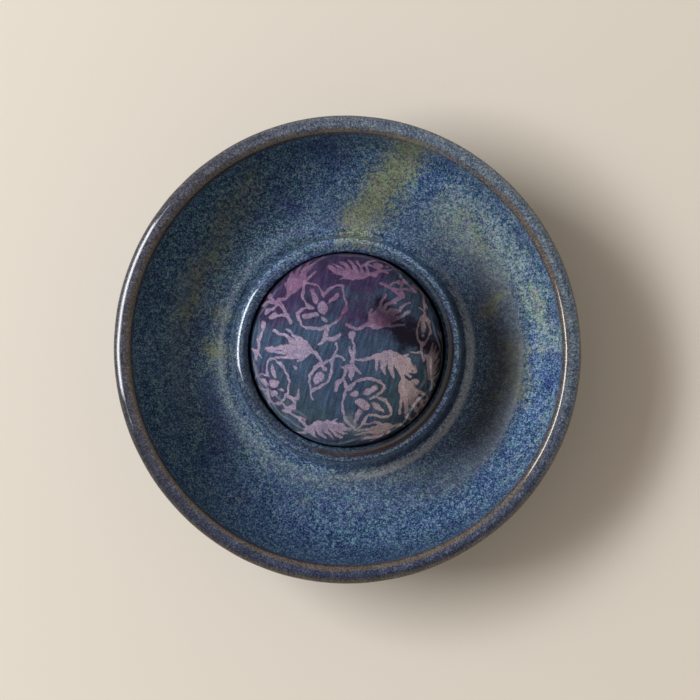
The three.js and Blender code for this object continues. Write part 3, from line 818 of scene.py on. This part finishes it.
# inner face of the cloth
thin = 0.38
keep = np.unique(np.concatenate([np.arange(0, len(s_rows), 3), [len(s_rows) - 1]]))
dS = np.gradient(outer, axis=0)
dT = np.roll(outer, -1, 1) - np.roll(outer, 1, 1)
nor = np.cross(dT, dS)
nor /= np.linalg.norm(nor, axis=-1, keepdims=True) + 1e-12
flip = np.sign((nor * np.stack([CNR * cux, CNR * cuy, CNZ], -1)).sum(-1, keepdims=True))
nor_s = np.stack([CNR * cux, CNR * cuy, CNZ], -1)
inner = (outer - nor_s * thin)[keep][::-1]
co_c = np.vstack([outer.reshape(-1, 3), inner.reshape(-1, 3), [(*outer[0, :, :2].mean(0), outer[0, :, 2].mean() + 0.004)], [(*outer[0, :, :2].mean(0), outer[0, :, 2].mean() - thin)]])
n_outer = len(s_rows) * CSEG
n_inner = len(keep) * CSEG
cover_faces = [
    ring_faces(len(s_rows) + len(keep), CSEG, flip=True),
    fan(n_outer + n_inner, 0, CSEG),
    fan(n_outer + n_inner + 1, n_outer + n_inner - CSEG, CSEG, flip=True),
]


# wax-resist pattern: generic sprigs, blossoms, tendrils and dots, as a signed distance in mm on the flat cloth
def stroke(x, y, pts, w0, w1):
    best = np.full(x.shape, 1e3)
    pts = np.array(pts, float)
    m = len(pts) - 1
    for i in range(m):
        ax, ay = pts[i]
        vx, vy = pts[i + 1] - pts[i]
        t = np.clip(((x - ax) * vx + (y - ay) * vy) / (vx * vx + vy * vy + 1e-9), 0, 1)
        wd = w0 + (w1 - w0) * (i + t) / m
        best = np.minimum(best, np.hypot(x - ax - t * vx, y - ay - t * vy) - wd)
    return best


def bend(length, curl, parts=7, x0=0.0, y0=0.0, heading=0.0):
    """Points of a curve that starts at x0, y0 and turns by curl over its length."""
    pts = [(x0, y0)]
    for i in range(parts):
        h = heading + curl * (i + 0.5) / parts
        pts.append((pts[-1][0] + length / parts * math.cos(h), pts[-1][1] + length / parts * math.sin(h)))
    return pts


def arcs(corners, parts=7):
    """Closed line through corners (x, y, bulge), bowed to the left of its way by each bulge."""
    out = []
    for i, (ax, ay, b) in enumerate(corners):
        bx, by, _ = corners[(i + 1) % len(corners)]
        cx, cy = (ax + bx) / 2 - 2 * b * (by - ay), (ay + by) / 2 + 2 * b * (bx - ax)
        for k in range(parts):
            t = k / parts
            out.append(((1 - t) ** 2 * ax + 2 * t * (1 - t) * cx + t * t * bx, (1 - t) ** 2 * ay + 2 * t * (1 - t) * cy + t * t * by))
    out.append(out[0])
    return np.array(out)

def solid(x, y, loop):
    inside_it = np.zeros(x.shape, bool)
    best = np.full(x.shape, 1e3)
    for (ax, ay), (bx, by) in zip(loop[:-1], loop[1:]):
        vx, vy = bx - ax, by - ay
        t = np.clip(((x - ax) * vx + (y - ay) * vy) / (vx * vx + vy * vy + 1e-9), 0, 1)
        best = np.minimum(best, np.hypot(x - ax - t * vx, y - ay - t * vy))
        crosses = ((ay > y) != (by > y)) & (x < vx * (y - ay) / (by - ay + 1e-12) + ax)
        inside_it ^= crosses
    return np.where(inside_it, -best, best)

def spots(x, y, items):
    sd = np.full(x.shape, 1e3)
    for dx, dy, rx, ry, turn_d in items:
        c0, s0 = math.cos(turn_d), math.sin(turn_d)
        lx, ly = (x - dx) * c0 + (y - dy) * s0, -(x - dx) * s0 + (y - dy) * c0
        sd = np.minimum(sd, (np.hypot(lx / rx, ly / ry) - 1) * min(rx, ry))
    return sd

def fingers(x, y, items):
    """Tapering strokes: x, y, heading, length, curl, width at the root."""
    sd = np.full(x.shape, 1e3)
    for x0, y0, h, ln, curl, w in items:
        sd = np.minimum(sd, stroke(x, y, bend(ln, curl, 6, x0, y0, h), w, 0.27))
    return sd


def tulip(x, y, k):
    """Open flower of three pointed petals in outline, with seeds, on a curled stem."""
    v = 0.5 * math.sin(2.3 * k)
    loop = arcs([(-3.6, 0.2, 0.20), (0.6 + v, 5.2, 0.16), (1.2, 1.7, 0.22), (6.6, 2.4 - v, 0.14), (3.0, -0.9, 0.10), (4.0 - v, -5.2, 0.22)], 6)
    sd = stroke(x, y, loop, 0.31, 0.29)
    sd = np.minimum(sd, spots(x, y, [(-0.3, 2.3, 1.6, 0.62, 1.25), (0.7, -0.3, 1.35, 0.95, 0.3), (3.3, 1.15, 1.5, 0.5, 0.22), (2.1, -2.9, 1.55, 0.55, -1.05), (-1.7, -0.1, 0.7, 0.5, 0.4)]))
    return np.minimum(sd, fingers(x, y, [(-3.4, 0.2, 3.3, 4.2, -1.5, 0.42), (-5.6, -0.2, 4.4, 2.2, 0.9, 0.38)]))


def twig(x, y, k):
    """Forked twig with round buds."""
    v = 0.3 * math.sin(1.7 * k)
    main = bend(10.0, 1.1, 8, -5.2, -1.6, -0.2)
    sd = stroke(x, y, main, 0.52, 0.32)
    for at, turn_a, ln, curl, bud in ((2, 1.25 + v, 3.6, -0.7, 0.80), (3, -0.9, 2.6, 0.8, 0.72), (5, 1.2, 3.3, -0.9, 0.78), (6, -1.0 - v, 2.7, 0.6, 0.7), (8, 0.0, 0.6, 0.0, 0.86)):
        side = bend(ln, curl, 5, *main[at], 0.14 * at + turn_a)
        sd = np.minimum(sd, stroke(x, y, side, 0.40, 0.30))
        h = math.atan2(side[-1][1] - side[-2][1], side[-1][0] - side[-2][0])
        sd = np.minimum(sd, spots(x, y, [(side[-1][0] + 0.4 * math.cos(h), side[-1][1] + 0.4 * math.sin(h), 1.25 * bud, bud, h)]))
    return sd


def hand_leaf(x, y, k):
    """Solid leaf that ends in long uneven fingers."""
    v = 0.25 * math.sin(1.9 * k)
    sd = solid(x, y, arcs([(-5.0, 0.0, 0.10), (0.4, 2.1, -0.04), (0.8, -2.0, 0.14)], 7))
    sd = np.minimum(sd, fingers(x, y, [
        (-1.0, 1.3, 0.80, 4.8, -0.5, 0.66), (-0.6, 0.8, 0.42 + 0.3 * v, 6.6, -0.35, 0.78), (-0.4, 0.0, 0.04 + v, 7.2, 0.2, 0.84),
        (-0.5, -0.8, -0.36, 6.2, 0.35, 0.80), (-1.2, -1.3, -0.80, 4.6, 0.6, 0.66), (-3.0, 0.6, 1.5, 2.2, -0.9, 0.45)]))
    return np.minimum(sd, fingers(x, y, [(-4.6, 0.0, 3.1, 4.0, -1.2, 0.46)]))


def drop(x, y, k):
    """Pointed leaf in outline with a seed, and a forked tail."""
    v = 0.3 * math.sin(2.9 * k)
    sd = stroke(x, y, arcs([(-4.2, 0.0, 0.20), (4.6, 0.9 + v, 0.24)], 9), 0.36, 0.38)
    sd = np.minimum(sd, spots(x, y, [(0.9, 0.4, 1.55, 0.95, 0.15), (-1.6, 0.1, 0.6, 0.45, 0.0)]))
    return np.minimum(sd, fingers(x, y, [(-4.0, 0.0, 3.0, 4.4, 1.1, 0.46), (-5.8, 0.4, 2.2, 2.4, -0.8, 0.40), (4.4, 0.9, 0.5, 2.2, 0.9, 0.40)]))


def comb_leaf(x, y, k):
    """Solid leaf with a row of long teeth along one side."""
    v = 0.3 * math.sin(1.3 * k + 1)
    back = bend(12.4, -1.25, 10, -6.0, -1.2, 0.66)
    sd = np.minimum(stroke(x, y, back[:6], 0.35, 1.35), stroke(x, y, back[5:], 1.35, 0.30))
    for at, ln, w in ((2, 2.8, 0.58), (3, 4.0, 0.70), (4, 4.9, 0.78), (5, 5.2, 0.80), (6, 4.8, 0.76), (7, 3.8, 0.66)):
        px, py = back[at]
        sd = np.minimum(sd, fingers(x, y, [(px, py - 0.1, -1.25 + 0.17 * (at - 4) + 0.2 * v, ln, 0.55, w)]))
    return np.minimum(sd, fingers(x, y, [(-5.8, -1.2, 3.9, 3.2, -1.1, 0.44), (back[6][0], back[6][1], 1.1, 2.2, -0.8, 0.5)]))


def ball_stem(x, y, k):
    """Round fruit on a stem that runs out of a small three-pointed leaf."""
    v = 0.3 * math.sin(2.1 * k)
    main = bend(7.4, 0.5 + v, 7, -3.4, -0.6, 0.05)
    sd = stroke(x, y, main, 0.46, 0.36)
    sd = np.minimum(sd, spots(x, y, [(main[-1][0] + 0.8, main[-1][1] + 0.3, 1.25, 1.1, 0.4)]))
    sd = np.minimum(sd, fingers(x, y, [(-3.2, -0.6, 3.2, 3.4, 0.5, 0.95), (-3.0, -0.6, 2.3, 2.8, -0.6, 0.80), (-3.0, -0.6, 4.0, 2.8, 0.6, 0.80), (main[3][0], main[3][1], 1.2, 2.2, -0.8, 0.40)]))
    return sd


KINDS = (tulip, twig, hand_leaf, drop, comb_leaf, ball_stem)
# kind, place on the flat cloth (mm), turn in degrees, scale, strength of the wax
layout = [
    (0, -6.8, 10.6, 104, 1.42, 0.85), (0, 4.2, -14.4, -44, 1.42, 0.9), (0, -20.6, -10.6, 150, 1.22, 0.95), (2, 10.4, 9.2, 30, 1.32, 0.9), (2, -15.0, 0.6, 162, 1.25, 1.0), (2, 18.4, -13.4, -66, 1.28, 0.95),
    (2, -14.6, 21.0, 66, 1.18, 0.85), (4, 13.4, -3.4, -16, 1.25, 1.0), (4, 1.4, 22.0, 172, 1.22, 0.85), (4, -5.6, -22.8, 4, 1.2, 1.0), (4, 25.4, -4.8, 96, 1.1, 0.9), (3, -7.4, -7.0, 232, 1.18, 0.95),
    (3, 22.6, 5.6, 76, 1.15, 0.95), (1, -20.4, 11.6, 122, 1.1, 0.9), (1, 15.4, 18.2, -24, 1.12, 0.9), (5, 2.0, -1.6, 70, 1.1, 0.9), (2, 9.6, -24.2, 196, 1.08, 0.95), (5, -26.0, 2.6, 60, 1.0, 0.95),
    (5, -14.6, -20.4, 300, 1.05, 0.95), (3, 24.4, -18.0, 40, 1.0, 0.9), (5, 23.4, 14.0, 250, 1.0, 0.9), (3, 10.6, 25.4, 170, 1.0, 0.85),
]
rng = np.random.default_rng(7)
kind = 0
for ring_r, count in ((36.5, 18), (46.5, 22), (56.5, 25)):
    for i in range(count):
        a = TAU * (i + rng.uniform(-0.2, 0.2)) / count + ring_r
        rr = ring_r + rng.uniform(-1.5, 1.5)
        layout.append((kind % 6, rr * math.cos(a), rr * math.sin(a), rng.uniform(0, 360), rng.uniform(1.0, 1.15), rng.uniform(0.75, 1.0)))
        kind += 1 if rng.uniform() < 0.7 else 2
hand = np.stack([FX / 2.9, FY / 2.9, np.zeros_like(FX)], -1)
HX = FX + 0.52 * noise3(hand, 91) + 0.24 * noise3(hand * 3.1, 95)
HY = FY + 0.52 * noise3(hand + 31.0, 93) + 0.24 * noise3(hand * 3.1 + 31.0, 97)
motif = np.full(FX.shape, 6.0)
strength = np.full(FX.shape, 0.85)
for j, (kd, mx, my, rot, sc, force) in enumerate(layout):
    near = np.hypot(FX - mx, FY - my) < 11.5 * sc
    if not near.any():
        continue
    c, sn = math.cos(math.radians(rot)), math.sin(math.radians(rot))
    lx, ly = (HX[near] - mx) / sc, (HY[near] - my) / sc
    sd = KINDS[kd](lx * c + ly * sn, -lx * sn + ly * c, float(j)) * sc
    old = motif[near]
    strength[near] = np.where(sd < old, force, strength[near])
    motif[near] = np.minimum(old, sd)
for i in range(70):                                    # scattered wax dots
    a, rr = rng.uniform(0, TAU), 58 * math.sqrt(rng.uniform())
    dx, dy, rad = rr * math.cos(a), rr * math.sin(a), rng.uniform(0.30, 0.62)
    dd = np.hypot(HX - dx, HY - dy) - rad
    clear = motif[np.unravel_index(np.argmin(dd), dd.shape)]
    if clear > 1.2:
        motif = np.minimum(motif, dd)
motif = motif + 0.16 * noise3(hand * 1.7 + 7.0, 99) + 0.02

# dye clouds, placed as seen in the picture
PX, PY = picture(outer[..., 0], outer[..., 1], outer[..., 2])
warp = 4.0 * fractal(np.stack([PX / 16, PY / 16, np.full_like(PX, 8.0)], -1), 5)
warp2 = 4.0 * fractal(np.stack([PX / 16 + 40, PY / 16, np.full_like(PX, 8.0)], -1), 9)
WX, WY = PX + warp, PY + warp2
far = smooth(31, 36, SS)
c_violet = patches([([(272, 300), (300, 274), (330, 262), (366, 268)], 22, 14, 1.0), ([(350, 312), (364, 320), (386, 320)], 8, 14, 0.85), ([(350, 330)], 6, 12, 0.7), ([(330, 296), (306, 312)], 10, 9, 0.8), ([(262, 372), (275, 395)], 7, 8, 0.55)])
c_maroon = patches([([(382, 306), (392, 318), (399, 332), (414, 341), (440, 349)], 7, 8, 1.3), ([(404, 322), (416, 330)], 6, 7, 0.9), ([(394, 316), (386, 302)], 2, 7, 0.6), ([(370, 318), (384, 320)], 2, 7, 0.55), ([(400, 338), (402, 352)], 3, 7, 0.7), ([(436, 350), (440, 366)], 5, 6, 1.0)])
c_wine = patches([([(360, 300), (384, 312), (404, 330), (434, 345)], 11, 10, 0.8), ([(300, 262), (318, 258)], 8, 7, 0.35)])
c_teal = patches([([(392, 398), (420, 382), (404, 420)], 24, 16, 0.9), ([(310, 418), (284, 398)], 16, 12, 1.0), ([(345, 430)], 18, 12, 0.6), ([(405, 285), (420, 300)], 10, 9, 0.6)])
# painted highlight on a crease low on the cushion
c_crease_highlight = patches([([(348, 418), (354, 428), (364, 436)], 3.5, 7, 0.8), ([(396, 424)], 6, 7, 0.3), ([(414, 402), (402, 412)], 3, 8, 0.45)])
c_rose = patches([([(336, 312), (366, 318), (388, 320)], 9, 8, 1.0), ([(296, 272), (318, 262)], 9, 8, 0.8), ([(392, 268), (374, 284)], 6, 8, 0.3), ([(283, 290)], 7, 7, 0.5)])
c_pink = patches([([(262, 330), (268, 352), (276, 372)], 20, 12, 1.0), ([(296, 362)], 10, 12, 0.5)])
c_mauve = patches([([(290, 285), (330, 268), (384, 266), (400, 280)], 24, 16, 1.0), ([(340, 300), (352, 316)], 12, 10, 0.9)])
peach = smooth(355, 425, PX + 0.45 * (PY - 350)) * smooth(255, 300, PY)
spread = fractal(np.stack([FX / 13, FY / 13, np.full_like(FX, 5.0)], -1), 61)
c_violet = c_violet * (1 - far) + far * smooth(-0.05, 0.4, spread)
c_maroon = c_maroon * (1 - far) + far * smooth(0.42, 0.6, spread)
c_wine = c_wine * (1 - far) + far * smooth(0.3, 0.55, spread)
c_teal = c_teal * (1 - far) + far * smooth(0.05, 0.4, -spread)
c_rose = c_rose * (1 - far) + far * smooth(0.2, 0.55, fractal(np.stack([FX / 11, FY / 11, np.full_like(FX, 15.0)], -1), 63))
c_pink = c_pink * (1 - far) + far * smooth(0.0, 0.4, fractal(np.stack([FX / 16, FY / 16, np.full_like(FX, 35.0)], -1), 69))
c_mauve = c_mauve * (1 - far)
peach = peach * (1 - far) + far * smooth(-0.2, 0.4, fractal(np.stack([FX / 20, FY / 20, np.full_like(FX, 25.0)], -1), 67))
c_crease_highlight = c_crease_highlight * (1 - far)

batik, n, s = material("batik_cotton")
cloth = n.attribute("cloth", 1)
cl = n.xyz(cloth)
turned = n.node("ShaderNodeMapping")                     # the cloth lies with its threads a little off the upright
n.put(turned.inputs["Vector"], cloth)
turned.inputs["Rotation"].default_value = (0, 0, math.radians(-74))
threads = turned.outputs[0]
cl = n.xyz(threads)
pitch = 0.40
u, v = n.math("DIVIDE", cl[0], pitch), n.math("DIVIDE", cl[1], pitch)
slub = n.noise(n.vmath("MULTIPLY", threads, (0.24, 2.9, 1.0)), 1.0, 3, 0.6)
slub2 = n.noise(n.vmath("MULTIPLY", threads, (2.9, 0.5, 1.0)), 1.0, 3, 0.6)
par = n.math("PINGPONG", n.math("ADD", n.math("FLOOR", u), n.math("FLOOR", v)), 1.0)
warp_h = n.math("ABSOLUTE", n.math("SINE", n.math("MULTIPLY", u, math.pi)))
weft_h = n.math("ABSOLUTE", n.math("SINE", n.math("MULTIPLY", v, math.pi)))
over = n.math("MULTIPLY", warp_h, n.math("POWER", weft_h, 0.5))
under_h = n.math("MULTIPLY", weft_h, n.math("POWER", warp_h, 0.5))
weave = n.lerp(par, over, under_h)
cloud = n.noise(cloth, 0.16, 4, 0.6)
bleed = n.noise(cloth, 1.1, 3, 0.6)
brush = n.noise(n.vmath("MULTIPLY", threads, (0.16, 1.1, 1.0)), 1.0, 3, 0.55)
soak = n.noise(cloth, 0.34, 4, 0.65, 0.6)
lint_r = n.noise(cloth, 3.1, 2, 0.6)
lint_b = n.noise(n.vmath("ADD", cloth, (17.0, 5.0, 3.0)), 3.1, 2, 0.6)


def dye(name, low=0.1, high=0.95, rough=0.9):
    v = n.attribute(name)
    extra = n.math("ADD", n.math("MULTIPLY", n.math("SUBTRACT", soak, 0.5), rough), n.math("MULTIPLY", n.math("SUBTRACT", bleed, 0.5), 0.45 * rough))
    return n.step(n.math("ADD", v, n.math("MULTIPLY", extra, n.step(v, 0.0, 0.3))), low, high)


ground = n.ramp(cloud, [(0.3, (0.025, 0.045, 0.086)), (0.5, (0.038, 0.063, 0.112)), (0.7, (0.056, 0.086, 0.148))])
ground = n.mix(dye("c_teal"), ground, n.ramp(cloud, [(0.3, (0.022, 0.043, 0.064)), (0.7, (0.046, 0.077, 0.102))]))
ground = n.mix(n.math("MULTIPLY", dye("c_violet", 0.05, 0.75), 0.95), ground, n.ramp(cloud, [(0.3, (0.024, 0.015, 0.046)), (0.7, (0.048, 0.028, 0.083))]))
ground = n.mix(n.math("MULTIPLY", n.step(brush, 0.48, 0.66), 0.45), ground, n.mix(1.0, ground, (2.3, 2.2, 2.0), "MULTIPLY"))
ground = n.mix(n.math("MULTIPLY", n.step(brush, 0.46, 0.32), 0.55), ground, n.mix(1.0, ground, (0.42, 0.42, 0.5), "MULTIPLY"))
wax = n.ramp(n.attribute("c_peach"), [(0.0, (0.310, 0.250, 0.365)), (0.5, (0.350, 0.270, 0.330)), (1.0, (0.450, 0.340, 0.345))])
wax = n.mix(dye("c_mauve"), wax, (0.245, 0.125, 0.228))
wax = n.mix(dye("c_pink"), wax, (0.335, 0.260, 0.365))
wax = n.mix(n.math("MULTIPLY", dye("c_rose"), 0.85), wax, (0.165, 0.058, 0.128))
wax = n.mix(n.step(n.noise(cloth, 0.5, 3, 0.6), 0.45, 0.7, 0, 0.35), wax, (0.46, 0.37, 0.46))
wax = n.mix(n.step(n.noise(n.vmath("ADD", cloth, (3.0, 9.0, 1.0)), 0.75, 3, 0.65), 0.5, 0.72, 0, 0.5), wax, (0.20, 0.115, 0.195))
sdf = n.math("ADD", n.attribute("motif"), n.math("MULTIPLY", n.math("SUBTRACT", n.noise(cloth, 2.6, 2, 0.6), 0.5), 0.42))
mask = n.step(sdf, 0.17, -0.17)
crackle = n.math("MULTIPLY", n.step(n.cells(cloth, 0.62, "DISTANCE_TO_EDGE"), 0.05, 0.0), n.step(bleed, 0.45, 0.62))
mask = n.math("MULTIPLY", mask, n.math("SUBTRACT", 1.0, n.math("MULTIPLY", crackle, 0.4)))
# the wax let more or less dye through from place to place
mask = n.math("MULTIPLY", mask, n.math("MULTIPLY", n.attribute("strength"), n.step(n.math("ADD", n.math("MULTIPLY", soak, 0.6), n.math("MULTIPLY", bleed, 0.4)), 0.36, 0.60, 0.66, 1.04)))
fabric = n.mix(mask, ground, wax)
halo = n.math("MULTIPLY", n.step(sdf, 0.9, 0.1), n.math("SUBTRACT", 1.0, mask))
fabric = n.mix(n.math("MULTIPLY", halo, 0.25), fabric, (0.026, 0.026, 0.060))
# painted highlight on a crease low on the cushion
fabric = n.mix(n.math("MULTIPLY", dye("c_crease_highlight", 0.1, 1.0, 1.1), 0.55), fabric, (0.30, 0.34, 0.34))
fabric = n.mix(n.math("MULTIPLY", dye("c_wine", 0.1, 1.1, 1.0), 0.55), fabric, (0.034, 0.012, 0.034))
fabric = n.mix(n.math("MULTIPLY", dye("c_maroon", 0.06, 0.95, 1.5), n.math("SUBTRACT", 0.96, n.math("MULTIPLY", mask, 0.50))), fabric, (0.0075, 0.0038, 0.0110))
# painted highlight along the crease ridges
fabric = n.mix(n.math("MULTIPLY", n.attribute("fold_highlight"), 0.85), fabric, (0.185, 0.205, 0.250))
fabric = n.mix(n.math("MULTIPLY", n.attribute("edge_painted_light"), 0.8), fabric, n.mix(1.0, fabric, (2.1, 2.1, 2.0), "MULTIPLY"))     # painted light: the cloth made paler where it meets the lip, lifting its shade
yarn = n.math("ADD", 0.64, n.math("MULTIPLY", n.lerp(par, slub, slub2), 0.72))
yarn = n.math("MULTIPLY", yarn, n.math("ADD", 0.84, n.math("MULTIPLY", weave, 0.32)))
tint = n.node("ShaderNodeCombineXYZ")
n.put(tint.inputs[0], n.math("MULTIPLY", yarn, n.step(lint_r, 0.3, 0.7, 0.60, 1.40)))
n.put(tint.inputs[1], n.math("MULTIPLY", yarn, n.step(n.math("ADD", lint_r, lint_b), 0.6, 1.4, 0.60, 1.40)))
n.put(tint.inputs[2], n.math("MULTIPLY", yarn, n.step(lint_b, 0.3, 0.7, 0.66, 1.34)))
fabric = n.mix(1.0, fabric, tint.outputs[0], "MULTIPLY")
n.put(s["Base Color"], fabric)
s["Roughness"].default_value = 0.9
s["Specular IOR Level"].default_value = 0.12
s["Sheen Weight"].default_value = 0.06
s["Sheen Roughness"].default_value = 0.5
s["Sheen Tint"].default_value = (0.75, 0.78, 0.9, 1)
n.put(s["Normal"], n.bump(weave, 0.00007, 0.8, n.bump(slub, 0.00006, 0.5)))

cover = build("batik_cover", co_c, cover_faces, "cushion", batik)
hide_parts("cushion_cover")


def cover_field(f):
    f = np.asarray(f, float)
    return np.concatenate([f.ravel(), f[keep][::-1].ravel(), [f[0].mean()], [f[0].mean()]])


for name, field in (
    ("edge_painted_light", smooth(28.6, 30.2, SS) * smooth(35.0, 32.0, SS)), ("motif", motif), ("strength", strength), ("fold_highlight", fold_highlight), ("c_violet", c_violet), ("c_maroon", c_maroon), ("c_wine", c_wine), ("c_teal", c_teal),
    ("c_crease_highlight", c_crease_highlight), ("c_rose", c_rose), ("c_pink", c_pink), ("c_mauve", c_mauve), ("c_peach", peach),
):
    floats(cover, name, cover_field(field))
vectors(cover, "cloth", np.stack([cover_field(FX), cover_field(FY), np.zeros(len(co_c))], -1))


# ---------------------------------------------------------------- stuffing
fibre, n, s = material("fibre_fill")
place = n.node("ShaderNodeTexCoord").outputs["Object"]
wisps = n.noise(n.vmath("MULTIPLY", place, (1.0, 1.0, 3.0)), 900, 5, 0.7, 2.5)
n.put(s["Base Color"], n.ramp(wisps, [(0.3, (0.62, 0.59, 0.52)), (0.6, (0.85, 0.83, 0.78))]))
s["Roughness"].default_value = 1.0
s["Sheen Weight"].default_value = 0.4
n.put(s["Normal"], n.bump(wisps, 0.0005, 0.9))
b_low, b_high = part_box("cushion_stuffing")
W_SEG, W_ROWS = 144, 84
stuff_line = [(r - 1.65 - (0.75 if z < 24 else 0.35 if z < 26 else 0), z - 1.45) for r, z, _ in COVER[1:11]]
stuff_line = [(0.0, 31.95, 5)] + [(max(r, 0), max(z, 11.3), 5) for r, z in stuff_line if z > 11.6] + [(23.6, 11.45, 4), (20.0, 11.2, 5), (10.0, 11.2, 5), (0.5, 11.2, 1)]
sl = spline(stuff_line)[1:]
sa = np.arange(W_SEG) / W_SEG * TAU
SR, ST = np.meshgrid(sl[:, 0], sa, indexing="ij")
SZ = np.repeat(sl[:, 1][:, None], W_SEG, 1)
q = np.stack([SR * np.cos(ST) / 4.2, SR * np.sin(ST) / 4.2, SZ / 4.2], -1)
lump = 0.25 - 0.65 * np.abs(fractal(q, 101, 4)) - 0.2
SR2 = np.maximum(SR + lump * smooth(0, 6, SR), 0.05)
SZ2 = SZ + lump * smooth(12, 30, SZ)
co_s = np.vstack([np.stack([SR2 * np.cos(ST), SR2 * np.sin(ST) + 0.08, SZ2], -1).reshape(-1, 3), [(0, 0.08, 31.9), (0, 0.08, 11.2)]])
k_s = len(sl) * W_SEG
wad = build("fibre_wad", co_s, [ring_faces(len(sl), W_SEG, flip=True), fan(k_s, 0, W_SEG), fan(k_s + 1, k_s - W_SEG, W_SEG, flip=True)], "cushion", fibre)
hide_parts("cushion_stuffing")


# ---------------------------------------------------------------- stiffening card
board, n, s = material("greyboard")
place = n.node("ShaderNodeTexCoord").outputs["Object"]
pulp = n.noise(place, 1400, 5, 0.7, 1.2)
n.put(s["Base Color"], n.mix(n.step(n.cells(place, 900), 0.16, 0.08), n.ramp(pulp, [(0.3, (0.22, 0.18, 0.135)), (0.7, (0.37, 0.31, 0.24))]), (0.10, 0.085, 0.07)))
s["Roughness"].default_value = 0.9
n.put(s["Normal"], n.bump(pulp, 0.00005, 0.6))
K_SEG = 180
card_line = [(3.0, 9.36), (12.0, 9.35), (21.6, 9.36), (21.88, 9.42), (22.0, 9.6), (21.98, 10.1), (21.95, 10.5), (21.85, 10.68), (21.55, 10.75), (12.0, 10.75), (3.0, 10.75)]
ka = np.arange(K_SEG) / K_SEG * TAU
cut = 0.10 * np.sin(5 * ka + 1) + 0.07 * np.sin(11 * ka) + 0.05 * np.sin(23 * ka + 2) - 0.12   # cut with scissors
co_k = [(r + (cut if r > 20 else 0)) * np.array([np.cos(ka), np.sin(ka)]) for r, z in card_line]
co_k = np.vstack([np.stack([c[0], c[1], np.full(K_SEG, z)], -1) for c, (r, z) in zip(co_k, card_line)] + [[(0, 0, 9.36), (0, 0, 10.75)]])
k_k = len(card_line) * K_SEG
card = build("base_card", co_k, [ring_faces(len(card_line), K_SEG), fan(k_k, 0, K_SEG, flip=True), fan(k_k + 1, k_k - K_SEG, K_SEG)], "cushion", board)
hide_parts("cushion_base_card")


# ---------------------------------------------------------------- gathering thread
def tube(path, radius, sides=10, closed=True):
    """Points and faces of a tube along a path in mm."""
    path = np.asarray(path, float)
    m = len(path)
    tangent = (np.roll(path, -1, 0) - np.roll(path, 1, 0)) if closed else np.gradient(path, axis=0)
    tangent /= np.linalg.norm(tangent, axis=1, keepdims=True)
    side = np.cross(tangent, (0.0, 0.0, 1.0))
    side /= np.linalg.norm(side, axis=1, keepdims=True) + 1e-9
    over_v = np.cross(side, tangent)
    radius = np.broadcast_to(radius, (m,))
    a = np.arange(sides) / sides * TAU
    pts = path[:, None] + radius[:, None, None] * (np.cos(a)[None, :, None] * side[:, None] + np.sin(a)[None, :, None] * over_v[:, None])
    i, k = np.meshgrid(np.arange(m if closed else m - 1), np.arange(sides), indexing="ij")
    a0 = i * sides + k
    a1 = i * sides + (k + 1) % sides
    b0 = ((i + 1) % m) * sides + k
    b1 = ((i + 1) % m) * sides + (k + 1) % sides
    faces = [np.stack([a0, a1, b1, b0], -1).reshape(-1, 4)]
    pts = pts.reshape(-1, 3)
    if not closed:
        c0, c1 = len(pts), len(pts) + 1
        pts = np.vstack([pts, path[:1], path[-1:]])
        faces += [fan(c0, 0, sides, flip=True), fan(c1, (m - 1) * sides, sides)]
    return pts, faces


cotton, n, s = material("sewing_thread")
place = n.node("ShaderNodeTexCoord").outputs["Object"]
ply = n.noise(place, 4200, 2, 0.6)
n.put(s["Base Color"], n.ramp(ply, [(0.3, (0.018, 0.026, 0.065)), (0.7, (0.055, 0.075, 0.15))]))
s["Roughness"].default_value = 0.7
s["Sheen Weight"].default_value = 0.3
n.put(s["Normal"], n.bump(ply, 0.00004, 0.7))

th = np.arange(720) / 720 * TAU
stitch = 30
strand = []
for side in (0, 1):
    ro = 8.55 + 0.10 * np.sin(7 * th + side) + (0.13 if side else -0.13)
    zo = 8.52 - 0.36 * np.tanh(2.2 * np.sin(stitch * th + 0.35 * np.sin(3 * th))) + 0.04 * np.sin(60 * th + side * 2)
    strand.append(tube(np.stack([ro * np.cos(th), ro * np.sin(th) + 0.2, np.maximum(zo, 8.22)], -1), 0.14, 8))
kt = np.linspace(0, TAU * 2.2, 90)
kc = np.array([8.6, 0.2, 8.42])
knot = np.stack([kc[0] + 0.34 * np.sin(kt) + 0.12 * np.cos(2.3 * kt), kc[1] + 0.42 * np.cos(1.5 * kt + 0.4), kc[2] + 0.12 * np.sin(2.1 * kt)], -1)
strand.append(tube(knot, 0.15, 8, closed=False))
for a0, curl in ((0.5, -0.9), (-0.3, 1.2)):
    pts = np.array(bend(7.0, curl, 40, kc[0], kc[1], a0))
    z_t = np.interp(np.arange(41), [0, 6, 40], [8.42, 8.24, 8.22])
    strand.append(tube(np.stack([pts[:, 0], pts[:, 1], z_t], -1), np.interp(np.arange(41), [0, 38, 40], [0.13, 0.13, 0.07]), 8, closed=False))
all_pts, all_faces, base = [], [], 0
for pts, fcs in strand:
    all_pts.append(pts)
    all_faces += [f + base for f in fcs]
    base += len(pts)
thread = build("running_stitch", np.vstack(all_pts), all_faces, "cushion", cotton)
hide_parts("gathering_thread")

bpy.context.view_layer.update()
low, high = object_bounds()
